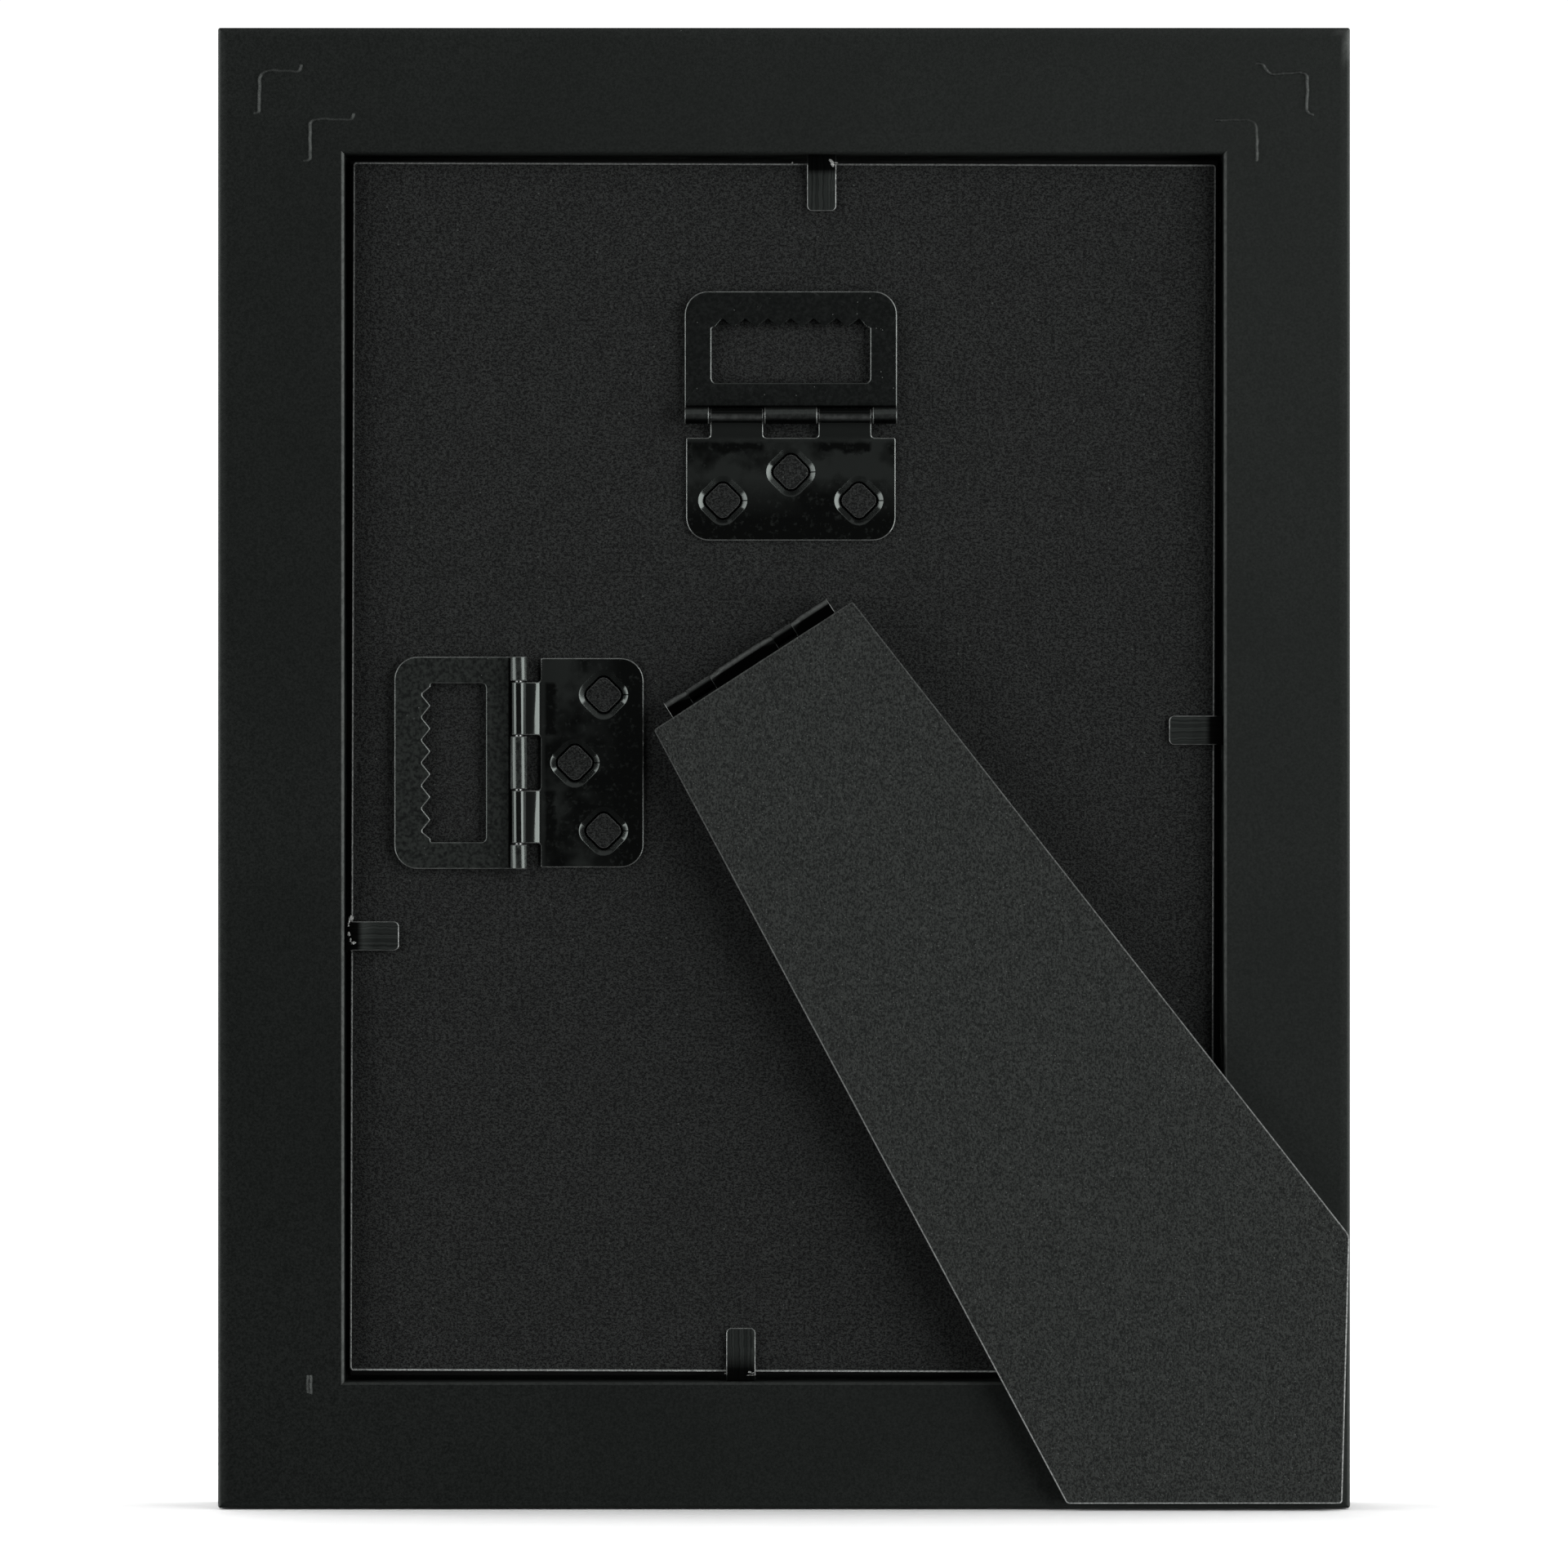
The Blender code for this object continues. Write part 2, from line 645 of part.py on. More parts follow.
def sawtooth_window():
    """The window of a hanger's leaf. Its far side is notched, so that a wall nail can't slip."""
    near = leaf_knuckle_radius + WINDOW_NEAR_BAND
    crest = HANGER_REACH - WINDOW_RIM
    tooth_tip = crest - NOTCH_DEPTH
    last = NOTCH_PITCH * (NOTCH_COUNT - 1) / 2
    side = last + WINDOW_SHOULDER
    corners = [(-side, near, WINDOW_CORNER_RADIUS), (side, near, WINDOW_CORNER_RADIUS), (side, tooth_tip)]
    for i in range(NOTCH_COUNT):
        centre = last - i * NOTCH_PITCH
        corners.append((centre, crest, NOTCH_RADIUS))
        corners.append((centre - NOTCH_PITCH / 2, tooth_tip, TOOTH_RADIUS))
    corners[-1] = (-side, tooth_tip)
    return rounded(corners)


def hanger_spans():
    """The five knuckles of a hanger: its leaf's and its plate's in turn."""
    end = HANGER_END_KNUCKLE
    inner = HANGER_INNER_KNUCKLE
    return knuckle_spans([end, inner, inner, inner, end])


def make_hanger(name, pin, board):
    """A sawtooth hanger: a leaf that lies flat on the board or swings up, its plate and its pin."""
    spans = hanger_spans()
    half_width = -spans[0][0]
    make_plate(name + "_plate", pin, spans, half_width, HANGER_REACH, board)
    outline = sheet_blank(spans[0::2], leaf_notch_edge, half_width, HANGER_REACH, NOTCH_FILLET)
    path = rolled_path(LEAF_SHEET, HANGER_REACH, 1, -1)
    rolled_sheet(name + "_leaf", pin, path, LEAF_SHEET, [outline, sawtooth_window()])
    make_pin(name + "_pin", pin, half_width)


def leg_outline():
    """The leg seen from behind: it widens downwards and is cut off along the frame's bottom and side."""
    to_pin = Matrix.Rotation(-LEG_SLANT, 2)
    foot_corner = Vector((outer_width / 2 - FOOT_FROM_SIDE, FOOT_ABOVE_BASE))
    foot = to_pin @ (foot_corner - Vector((easel_pin_across, easel_pin_height)))
    top_left = Vector((-LEG_TOP_WIDTH / 2, -LEG_BELOW_PIN))
    top_right = Vector((LEG_TOP_WIDTH / 2, -LEG_BELOW_PIN))
    down = -math.pi / 2
    foot_left = crossing(top_left, down - LEG_TAPER, foot, -LEG_SLANT)
    side_top = crossing(top_right, down + LEG_TAPER, foot, math.pi / 2 - SIDE_FOOT_TILT - LEG_SLANT)
    return [top_left, foot_left, foot, side_top, top_right]


def make_easel(pin, board):
    """The easel: a plate on the board, a leaf under the leg, their pin and the leg."""
    spans = knuckle_spans([
        EASEL_LOW_KNUCKLE, EASEL_LOW_WAIST, EASEL_MIDDLE_KNUCKLE, EASEL_HIGH_WAIST, EASEL_HIGH_KNUCKLE
    ])
    half_width = -spans[0][0]
    make_plate("easel_hinge_plate", pin, spans, half_width, EASEL_REACH, board)
    leg = prism("easel_leg", [leg_outline()], leg_inner - pin_level, leg_outer - pin_level)
    soften(leg, LEG_EDGE_RADIUS)
    finish(leg, pin, CHARCOAL_PAPER)
    places = collar_places(half_width, EASEL_REACH)
    outline = flipped(sheet_blank(spans[0::2], leaf_notch_edge, half_width, EASEL_REACH, NOTCH_FILLET))
    path = rolled_path(LEAF_SHEET, EASEL_REACH, -1, 1)
    leaf = rolled_sheet("easel_hinge_leaf", pin, path, LEAF_SHEET, [outline] + collar_holes(places))
    add_collars(leaf, leg, pin, places, LEAF_SHEET, leg_inner - pin_level, 1)
    make_pin("easel_hinge_pin", pin, half_width)


def build():
    back = empty_at("back_view", None, (0, -(rail_front + leg_outer) / 2, 0))
    back.rotation_euler = (math.pi / 2, 0, math.pi)
    quarter = math.pi / 2
    across = outer_width / 2
    bottom = make_rail("rail_bottom", empty_at("bottom_edge", back), outer_width)
    right_edge = empty_at("right_edge", back, (across, middle_height, 0), quarter)
    right = make_rail("rail_right", right_edge, outer_height)
    top = make_rail("rail_top", empty_at("top_edge", back, (0, outer_height, 0), 2 * quarter), outer_width)
    left_edge = empty_at("left_edge", back, (-across, middle_height, 0), -quarter)
    left = make_rail("rail_left", left_edge, outer_height)
    board = make_flat_pieces(back)

    corners = [
        ("bottom_left", -across, 0, (left, bottom)),
        ("bottom_right", across, 0, (bottom, right)),
        ("top_right", across, outer_height, (right, top)),
        ("top_left", -across, outer_height, (top, left)),
    ]
    for i, (name, x, y, rails) in enumerate(corners):
        corner = empty_at(name + "_corner", back, (x, y, 0), i * quarter)
        make_nail(name + "_outer_nail", corner, OUTER_NAIL_INSET, rails)
        make_nail(name + "_inner_nail", corner, INNER_NAIL_INSET, rails)

    hanger_half = hanger_spans()[-1][1]
    left_tab_height = side_pin_height - hanger_half - TAB_BELOW_SIDE_HANGER
    bend_across = opening_width / 2 - TAB_BEND_FROM_WALL
    bend_up = opening_height / 2 - TAB_BEND_FROM_WALL
    tabs = [
        ("tab_bottom", -TAB_OFF_CENTRE, middle_height - bend_up, bottom),
        ("tab_right", bend_across, middle_height + TAB_OFF_CENTRE, right),
        ("tab_top", TAB_OFF_CENTRE, middle_height + bend_up, top),
        ("tab_left", -bend_across, left_tab_height, left),
    ]
    for i, (name, x, y, rail) in enumerate(tabs):
        bend = empty_at(name + "_bend", back, (x, y, TAB_ROOT_HEIGHT), i * quarter)
        make_tab(name, bend, rail)

    top_pin = empty_at("top_hanger_axis", back, (TOP_HANGER_OFF_CENTRE, top_pin_height, pin_level))
    make_hanger("top_hanger", top_pin, board)
    side_pin = empty_at("side_hanger_axis", back, (side_pin_across, side_pin_height, pin_level), quarter)
    make_hanger("side_hanger", side_pin, board)
    easel_pin = empty_at("easel_axis", back, (easel_pin_across, easel_pin_height, pin_level), LEG_SLANT)
    make_easel(easel_pin, board)


build()
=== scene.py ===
"""The looks of a black photo frame seen from behind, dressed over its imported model.

Shapes are worked out in millimetres in the back view's own drawing: x to the right, y up and z
towards the viewer, from the backing board's rear face. stood_up() turns that into the frame's metres.
"""

import math
from collections import namedtuple

import bpy
import numpy as np
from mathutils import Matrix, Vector
from mathutils.geometry import delaunay_2d_cdt


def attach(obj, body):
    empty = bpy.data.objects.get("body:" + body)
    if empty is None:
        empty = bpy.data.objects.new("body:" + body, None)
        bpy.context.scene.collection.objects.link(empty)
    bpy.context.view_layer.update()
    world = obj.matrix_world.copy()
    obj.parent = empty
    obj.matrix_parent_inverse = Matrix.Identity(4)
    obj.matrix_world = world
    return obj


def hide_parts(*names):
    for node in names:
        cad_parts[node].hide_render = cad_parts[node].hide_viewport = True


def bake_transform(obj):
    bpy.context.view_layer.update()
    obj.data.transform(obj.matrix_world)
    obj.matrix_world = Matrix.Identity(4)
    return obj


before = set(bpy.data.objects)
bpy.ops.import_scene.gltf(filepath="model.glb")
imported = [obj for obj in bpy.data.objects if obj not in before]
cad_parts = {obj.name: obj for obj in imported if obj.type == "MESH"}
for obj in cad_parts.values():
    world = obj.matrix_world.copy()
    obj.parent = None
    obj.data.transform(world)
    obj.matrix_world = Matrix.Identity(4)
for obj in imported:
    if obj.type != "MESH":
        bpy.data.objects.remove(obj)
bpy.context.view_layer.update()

# Sizes in millimetres, as in the part's own drawing but for what was measured again: the board, the
# tabs' places, the leg's corners and the rails' back edge
BOARD_REAR = 3.235
OUTER_WIDTH = 165.1
OUTER_HEIGHT = 215.9
RAIL_WIDTH = 18.4
LIP_REACH = 6.35
RAIL_FRONT = -12.1
LIP_REAR = -5.7
RAIL_REAR = 2.93
CORNER_RADIUS = 0.35
CROWN_WIDTH = 1.5
CROWN_FALL = 0.12
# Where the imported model's outline is widest, under its rounded back edge
OUTLINE_LEVEL = RAIL_REAR - 1.1

BOARD_WIDTH = 126.1
BOARD_HEIGHT = 176.6
BOARD_THICKNESS = 2.5
BOARD_MIDDLE = (-0.15, 108.0)
BOARD_TILT = -0.16

PLATE_SHEET = 0.4
LEAF_SHEET = 0.6
BORE_RADIUS = 0.63
PIN_LEVEL = 1.7
KNUCKLE_SWEEP = 286
LEAF_SHOULDER = 1.25
PLATE_SHOULDER = 3.16
STEP_LENGTH = 1.05
STEP_EASE = 0.15
PLATE_LEVEL = -1.4
HANGER_REACH = 18.2
HANGER_SPANS = [(-15.5, -11.95), (-11.75, -4.05), (-3.85, 3.85), (4.05, 11.75), (11.95, 15.5)]
HANGER_PLATE_HALF = 15.3
HANGER_LEAF_HALF = 15.5
WINDOW_HALF = 11.59
WINDOW_FROM_END = 3.95
TOOTH_PITCH = 3.33
TOOTH_DEPTH = 1.35
TOP_PIN = (1.0, 159.35)
SIDE_PIN = (-38.7, 108.7)

EASEL_PIN = (-5.1, 124.05)
EASEL_REACH = 18.0
EASEL_SPANS = [(-14.1, -7.71), (-7.69, -4.41), (-4.39, 6.39), (6.41, 10.39), (10.41, 14.1)]
EASEL_PLATE_HALF = 13.9
EASEL_LEAF_HALF = 14.1
LEG_SLANT = 32.84
# The leg's corners as (x, y, radius)
LEG_CORNERS = [
    (-17.38, -1.36, 0.4), (-27.93, -128.6, 0.7), (5.73, -150.3, 0.5), (27.78, -118.06, 1.8),
    (17.05, -1.36, 0.4),
]
LEG_INNER = 3.23
LEG_OUTER = 5.63

COLLAR_FROM_SIDE = 5.36
COLLAR_FROM_END = 5.86
COLLAR_FROM_SHOULDER = 5
COLLAR_ARC_CENTRE = 1.45
COLLAR_RADIUS = 1.54
FUNNEL_WIDTH = 0.66
FUNNEL_SLOPE = 41
FUNNEL_TOP_ROLL = 0.25
FUNNEL_FOOT_ROLL = 0.12
COLLAR_WALL = 0.35
COLLAR_DEPTH = 1.3
COLLAR_SLIT = 0.16
FACE_TO_BOARD = 0.3
GROOVE_HALF = 0.475
GROOVE_DEPTH = 1.6
GROOVE_ROUND = 0.12

TAB_WIDTH = 4.25
TAB_SHEET = 0.35
TAB_REACH = 7.85
TAB_CORNER = 0.75
TAB_ROOT_HEIGHT = 1.0
TAB_TIP_HEIGHT = 0.3
TAB_SLOPE_START = 0.4
TAB_SLOPE_LENGTH = 4.2
# Each tab's place, turn, and how far the painted shadow at its root reaches along its strip
TAB_PLACES = {
    "top": ((5.5, 197.15), 180, 2.6),
    "right": ((64.1, 113.45), 90, 2.6),
    "bottom": ((-6.3, 18.3), 0, 4.5),
    "left": ((-64.1, 83.4), -90, 2.6),
}

RIDGE_HALF = 0.3
RIDGE_HEIGHT = 0.19
# The corner of the frame that has been knocked
KNOCK = (82.4, 213.5, RAIL_REAR - 0.4)


# Shapes on a plane


def arc(centre, radius, start, end, steps=6):
    """Points on a circle round a centre, from one angle to another in degrees."""
    angle = np.radians(np.linspace(start, end, steps + 1))
    return np.asarray(centre) + radius * np.column_stack([np.cos(angle), np.sin(angle)])


def rounded(corners, steps=6):
    """A closed outline whose corners, given as (x, y, radius), are arcs that touch both sides.

    Each arc's centre lies on the corner's bisector, radius / sin(half angle) from the corner.
    """
    corners = np.asarray(corners, float)
    here, radius = corners[:, :2], corners[:, 2:]
    back = np.roll(here, 1, 0) - here
    ahead = np.roll(here, -1, 0) - here
    back /= np.linalg.norm(back, axis=1, keepdims=True)
    ahead /= np.linalg.norm(ahead, axis=1, keepdims=True)
    half = np.arccos(np.clip((back * ahead).sum(1, keepdims=True), -1, 1)) / 2
    middle = (back + ahead) / np.linalg.norm(back + ahead, axis=1, keepdims=True)
    centre = here + middle * radius / np.sin(half)
    start = back * radius / np.tan(half) + here - centre
    turn = np.sign(back[:, :1] * ahead[:, 1:] - back[:, 1:] * ahead[:, :1])
    sweep = -turn * (math.pi - 2 * half) * np.linspace(0, 1, steps + 1)
    cos, sin = np.cos(sweep), np.sin(sweep)
    x = centre[:, :1] + start[:, :1] * cos - start[:, 1:] * sin
    y = centre[:, 1:] + start[:, :1] * sin + start[:, 1:] * cos
    return np.stack([x, y], -1).reshape(-1, 2)


def outwards_from(outline):
    """The direction in which each point moves when an outline with its metal on the left grows by one."""
    ahead = np.roll(outline, -1, 0) - outline
    ahead /= np.linalg.norm(ahead, axis=1, keepdims=True)
    side = np.column_stack([ahead[:, 1], -ahead[:, 0]])
    before = np.roll(side, 1, 0)
    return (before + side) / (1 + (before * side).sum(1, keepdims=True))


def within(points, rings):
    """Which points have an odd number of the rings' sides to their right, and so lie in the metal."""
    odd = np.zeros(len(points), bool)
    x, y = points[:, :1], points[:, 1:]
    for ring in rings:
        ahead = np.roll(ring, -1, 0)
        crosses = (ring[:, 1] > y) != (ahead[:, 1] > y)
        rise = np.where(ahead[:, 1] == ring[:, 1], 1, ahead[:, 1] - ring[:, 1])
        at = ring[:, 0] + (y - ring[:, 1]) * (ahead[:, 0] - ring[:, 0]) / rise
        odd ^= (crosses & (x < at)).sum(1) % 2 == 1
    return odd


# Sheets: flat areas between edges that are carried over a rim

# An edge has its points, their outward directions, its rim as rows of (outwards, height, wear),
# whether a slit opens it between its last point and its first, and whether it ends in a cap.
Edge = namedtuple("Edge", "points outwards rim split capped")


def plain_edge(outline, rim):
    return Edge(outline, outwards_from(outline), rim, False, False)


def rim_section(thickness, radius, strip=0.0, steps=4):
    """A sheet's edge from its upper face to its lower: a quarter circle, a straight, a quarter circle.

    A strip of each face beside the edge can be worn with it, and fades over 0.05 mm.
    """
    angle = np.radians(np.linspace(0, 90, steps + 1))
    wear = np.clip((np.sin(angle) - 0.2) / 0.5, 0, 1) if strip == 0 else np.ones(steps + 1)
    into = radius * (np.sin(angle) - 1)
    upper = np.column_stack([into, thickness / 2 - radius * (1 - np.cos(angle)), wear])
    if strip > 0:
        start = -radius - strip
        upper = np.vstack([[(start - 0.05, thickness / 2, 0), (start, thickness / 2, 1)], upper])
    return np.vstack([upper, upper[::-1] * (1, -1, 1)])


def filled(rings, inner, rungs):
    """Triangles over the area inside an odd number of rings, with an edge along every rung."""
    points = np.vstack([*rings, inner])
    starts = np.cumsum([0] + [len(ring) for ring in rings])
    sides = [np.arange(a, b) for a, b in zip(starts[:-1], starts[1:])]
    links = [np.column_stack([side, np.roll(side, -1)]) for side in sides]
    links += [np.stack([rung[:, :-1], rung[:, 1:]], -1).reshape(-1, 2) for rung in rungs]
    found = delaunay_2d_cdt(points.tolist(), np.vstack(links).tolist(), [], 0, 1e-7, True)
    triangles = np.array(found[3])[:, 0][np.array(found[2])]
    return triangles[within(points[triangles].mean(1), rings)]


def grid_faces(number, split=False):
    """The faces of a grid of point numbers, whose last column is joined to its first unless it is split."""
    here = number[:, :-1] if split else number
    ahead = number[:, 1:] if split else np.roll(number, -1, 1)
    return np.stack([here[:-1], here[1:], ahead[1:], ahead[:-1]], -1).reshape(-1, 4)


def capped_grid(rows, columns):
    """The faces of a closed grid with a cap at each end."""
    number = np.arange(rows * columns).reshape(rows, columns)
    return grid_faces(number).tolist() + [number[0, ::-1].tolist(), number[-1].tolist()]


def sheet(edges, inner=np.zeros((0, 2)), half=0.2, rungs=()):
    """Points as (across, along, height), their wear, and faces of a sheet with rims round its edges.

    Row k of an edge is its outline moved outwards by the rim's k-th offset, at the rim's k-th height.
    """
    layers = []
    tops = []
    bottoms = []
    quads = []
    caps = []
    count = 0
    for edge in edges:
        rim = edge.rim[:, None, :]
        flat = edge.points + rim[..., :1] * edge.outwards
        rows, columns = flat.shape[:2]
        layers.append(np.concatenate([flat, np.broadcast_to(rim[..., 1:], flat.shape)], -1).reshape(-1, 4))
        number = count + np.arange(rows * columns).reshape(rows, columns)
        tops.append(number[0])
        bottoms.append(number[-1])
        quads.append(grid_faces(number, edge.split))
        if edge.split:
            caps += [number[::-1, 0].tolist(), number[:, -1].tolist()]
            caps.append([number[0, -1], number[-1, -1], number[-1, 0], number[0, 0]])
        if edge.capped:
            caps.append(number[-1, ::-1].tolist())
        count += rows * columns
    inner_top = count + np.arange(len(inner))
    zeros = np.zeros((len(inner), 1))
    layers.append(np.hstack([inner, zeros + half, zeros]))
    layers.append(np.hstack([inner, zeros - half, zeros]))
    points = np.vstack(layers)

    top = np.concatenate([*tops, inner_top])
    rings = [points[ring, :2] for ring in tops]
    upper = top[filled(rings, inner, rungs)]
    through = [ring for ring, edge in zip(bottoms, edges) if not edge.capped]
    bottom = np.concatenate([*through, inner_top + len(inner)])
    lower = bottom[filled([points[ring, :2] for ring in through], inner, rungs)][:, ::-1]
    faces = np.vstack(quads).tolist() + upper.tolist() + lower.tolist() + caps
    return points[:, :3], points[:, 3], faces


# From the drawing to finished pieces


def stood_up(points):
    """The drawing's (x, y, z) in millimetres to the frame's metres: (-x, z + the board's place, y)."""
    return np.stack([-points[..., 0], points[..., 2] + BOARD_REAR, points[..., 1]], -1) / 1000


def turned(points, place, degrees, level=0.0):
    """Points turned anticlockwise about the origin and then moved to a place and level in the drawing."""
    angle = math.radians(degrees)
    x, y, z = points[..., 0], points[..., 1], points[..., 2]
    across = x * math.cos(angle) - y * math.sin(angle) + place[0]
    along = x * math.sin(angle) + y * math.cos(angle) + place[1]
    return np.stack([across, along, z + level], -1)


def add_piece(name, points, faces, finish, slot, **shares):
    """A piece from points in the drawing, smooth but for sharp edges, with its shares as attributes."""
    mesh = bpy.data.meshes.new(name)
    mesh.from_pydata(stood_up(points.reshape(-1, 3)).tolist(), [], faces)
    for share, values in shares.items():
        made = mesh.attributes.new(share, "FLOAT", "POINT")
        made.data.foreach_set("value", values.ravel().astype(np.float32))
    mesh.materials.append(finish)
    mesh.shade_smooth()
    mesh.set_sharp_from_angle(angle=math.radians(40))
    made = bpy.data.objects.new(name, mesh)
    bpy.context.scene.collection.objects.link(made)
    made.modifiers.new("flat_faces_shaded_flat", "WEIGHTED_NORMAL").keep_sharp = True
    return made


# Materials


def linear(colour):
    """An sRGB hex colour as the linear values that shaders take."""
    values = np.array([int(colour[i:i + 2], 16) for i in (1, 3, 5)]) / 255
    values = np.where(values <= 0.04045, values / 12.92, ((values + 0.055) / 1.055) ** 2.4)
    return (*values.tolist(), 1.0)


def join(tree, made, sockets):
    """Sets a node's sockets. A value is set on its socket, and another node's socket is linked to it."""
    for name, value in sockets.items():
        if isinstance(value, bpy.types.NodeSocket):
            tree.links.new(value, made.inputs[name])
        else:
            made.inputs[name].default_value = value


def node(tree, kind, sockets, **settings):
    """Adds a node with its settings and sockets, and returns its outputs."""
    made = tree.nodes.new("ShaderNode" + kind)
    for name, value in settings.items():
        setattr(made, name, value)
    join(tree, made, sockets)
    return made.outputs


def new_material(name, **constants):
    """A material with constants on its shader: it, its tree, its shader and object coordinates in mm."""
    made = bpy.data.materials.new(name)
    made.use_nodes = True
    tree = made.node_tree
    surface = tree.nodes["Principled BSDF"]
    for socket, value in constants.items():
        surface.inputs[socket.replace("_", " ").title().replace("Ior", "IOR")].default_value = value
    place = node(tree, "TexCoord", {})["Object"]
    return made, tree, surface, node(tree, "VectorMath", {0: place, "Scale": 1000.0}, operation="SCALE")[0]


def coated(tree, below, coats):
    """Colours laid over one another: each coat, as (share, colour), covers what is below by its share."""
    for share, colour in coats:
        below = node(tree, "Mix", {0: share, 6: below, 7: linear(colour)}, data_type="RGBA")[2]
    return below


def patches(tree, at, size, low, high, stretch=(1, 1, 1)):
    """A share that changes over about size millimetres, and more slowly along an axis by its stretch.

    It is 0 where its noise is below low, 1 where it is above high, and smooth between.
    """
    scale = tuple(1 / (size * value) for value in stretch)
    at = node(tree, "VectorMath", {0: at, 1: scale}, operation="MULTIPLY")[0]
    rough = node(tree, "TexNoise", {"Vector": at, "Scale": 1.0, "Detail": 3.0, "Roughness": 0.6})[0]
    spread = {"Value": rough, "From Min": low, "From Max": high}
    return node(tree, "MapRange", spread, interpolation_type="SMOOTHSTEP")[0]


def specks(tree, at, spacing, size, share):
    """Specks up to size millimetres across in a share of the cells of a lattice with a given spacing."""
    cell = node(tree, "TexVoronoi", {"Vector": at, "Scale": 1 / spacing})
    pick = node(tree, "SeparateColor", {0: cell["Color"]})
    chosen = node(tree, "Math", {0: pick[0], 1: share}, operation="LESS_THAN")[0]
    reach = node(tree, "Math", {0: pick[1], 1: size / spacing / 2}, operation="MULTIPLY")[0]
    inside = node(tree, "Math", {0: reach, 1: cell["Distance"]}, operation="SUBTRACT")[0]
    solid = node(tree, "MapRange", {"Value": inside, "From Max": 0.12 * size / spacing})[0]
    return node(tree, "Math", {0: solid, 1: chosen}, operation="MULTIPLY")[0]


def band(tree, value, start, end, soft):
    """1 where a value lies between a start and an end, falling to 0 beyond them over a soft distance."""
    half = (end - start) / 2
    off = node(tree, "Math", {0: value, 1: (start + end) / 2}, operation="SUBTRACT")[0]
    off = node(tree, "Math", {0: off}, operation="ABSOLUTE")[0]
    fade = {"Value": off, "From Min": half, "From Max": half + soft, "To Min": 1.0, "To Max": 0.0}
    return node(tree, "MapRange", fade)[0]


def rubbed_through(tree, at, size, least):
    """How bare an edge is rubbed: its wear, uneven over about size millimetres down to a least share."""
    wear = node(tree, "Attribute", {}, attribute_name="wear")["Fac"]
    uneven = node(tree, "MapRange", {"Value": patches(tree, at, size, 0.35, 0.62), "To Min": least})[0]
    return node(tree, "Math", {0: wear, 1: uneven}, operation="MULTIPLY")[0]


def hair_scratches(tree, at, turn):
    """Fine scratches a few millimetres long that lie mostly one way and come and go."""
    at = node(tree, "VectorRotate", {"Vector": at, "Angle": turn}, rotation_type="Y_AXIS")[0]
    hairs = patches(tree, at, 0.22, 0.66, 0.72, (14, 1, 1))
    here = patches(tree, at, 4.0, 0.5, 0.62)
    return node(tree, "Math", {0: hairs, 1: here}, operation="MULTIPLY")[0]


# The faint green of the lamps, painted into the reflections of every black finish as a tint
PAINTED_LAMP_GREEN = linear("#f3fff9")


def lacquer():
    """Black nitrocellulose lacquer sprayed on wood.

    It dries to an even satin with a fine orange peel. Dust nibs stand up in it, it is painted a little
    paler towards the upper right as painted light, and the grey undercoat shows where a corner is knocked.
    """
    made, tree, surface, at = new_material(
        "sprayed_black_lacquer_on_wood", roughness=0.55, specular_ior_level=0.12, specular_tint=PAINTED_LAMP_GREEN
    )
    drift = patches(tree, at, 40.0, 0.35, 0.65)
    shade = node(tree, "Mix", {0: drift, 6: linear("#1a1c1b"), 7: linear("#1f2120")}, data_type="RGBA")[2]
    # Pores are drawn at 0.3 mm, coarser than sprayed lacquer's, so that they outlast a picture's pixels
    pores = patches(tree, at, 0.3, 0.25, 0.75)
    shade = node(tree, "Mix", {0: pores, 6: linear("#090b0a"), 7: shade}, data_type="RGBA")[2]
    # Painted light: a share that grows towards the upper right of the frame
    dusty = node(tree, "Attribute", {}, attribute_name="dusty")["Fac"]
    nibs = specks(tree, at, 1.5, 0.26, 0.2)
    knocked = rubbed_through(tree, at, 0.9, 0.6)
    shade = coated(tree, shade, [(dusty, "#3c3f3d"), (nibs, "#4a4d4b"), (knocked, "#5c5f5d")])
    peel = node(tree, "Bump", {"Height": patches(tree, at, 0.7, 0.2, 0.8), "Distance": 0.012 / 1000})[0]
    raised = node(tree, "Bump", {"Height": nibs, "Distance": 0.05 / 1000, "Normal": peel})[0]
    join(tree, surface, {"Base Color": shade, "Normal": raised})
    return made


def paper_board(name, hollow, crown, tip, core, contrast, stretch):
    """Dyed kraft paper glued on grey fibreboard.

    Its tooth of short felted fibres throws tiny shadows in raking light, so that it looks grainy
    and quite matt. Where its edge is rubbed the grey core shows.
    """
    made, tree, surface, at = new_material(name, roughness=0.9, specular_ior_level=0.2)
    # Fibres are drawn 0.2 mm broad and their knots 0.4 mm, up to twice their real size, so that they
    # outlast a picture's pixels
    knots = patches(tree, at, 0.4, 0.3, 0.7, stretch)
    fine = patches(tree, at, 0.2, 0.3, 0.7, stretch)
    fibres = node(tree, "Mix", {0: 0.45, 2: knots, 3: fine}, data_type="FLOAT")[0]
    spread = {"Value": fibres, "From Min": 0.5 - contrast, "From Max": 0.5 + contrast}
    fibres = node(tree, "MapRange", spread, interpolation_type="SMOOTHSTEP")[0]
    felting = patches(tree, at, 2.2, 0.3, 0.8)
    thin = node(tree, "Math", {0: felting, 1: 0.25}, operation="MULTIPLY")[0]
    lint = specks(tree, at, 0.5, 0.24, 0.3)
    fluff = specks(tree, at, 1.7, 0.34, 0.2)
    bare = rubbed_through(tree, at, 0.35, 0.5)
    coats = [(fibres, crown), (thin, hollow), (lint, tip), (fluff, tip), (bare, core)]
    shade = coated(tree, linear(hollow), coats)
    tooth = node(tree, "Bump", {"Height": fibres, "Distance": 0.04 / 1000})[0]
    join(tree, surface, {"Base Color": shade, "Normal": tooth})
    return made


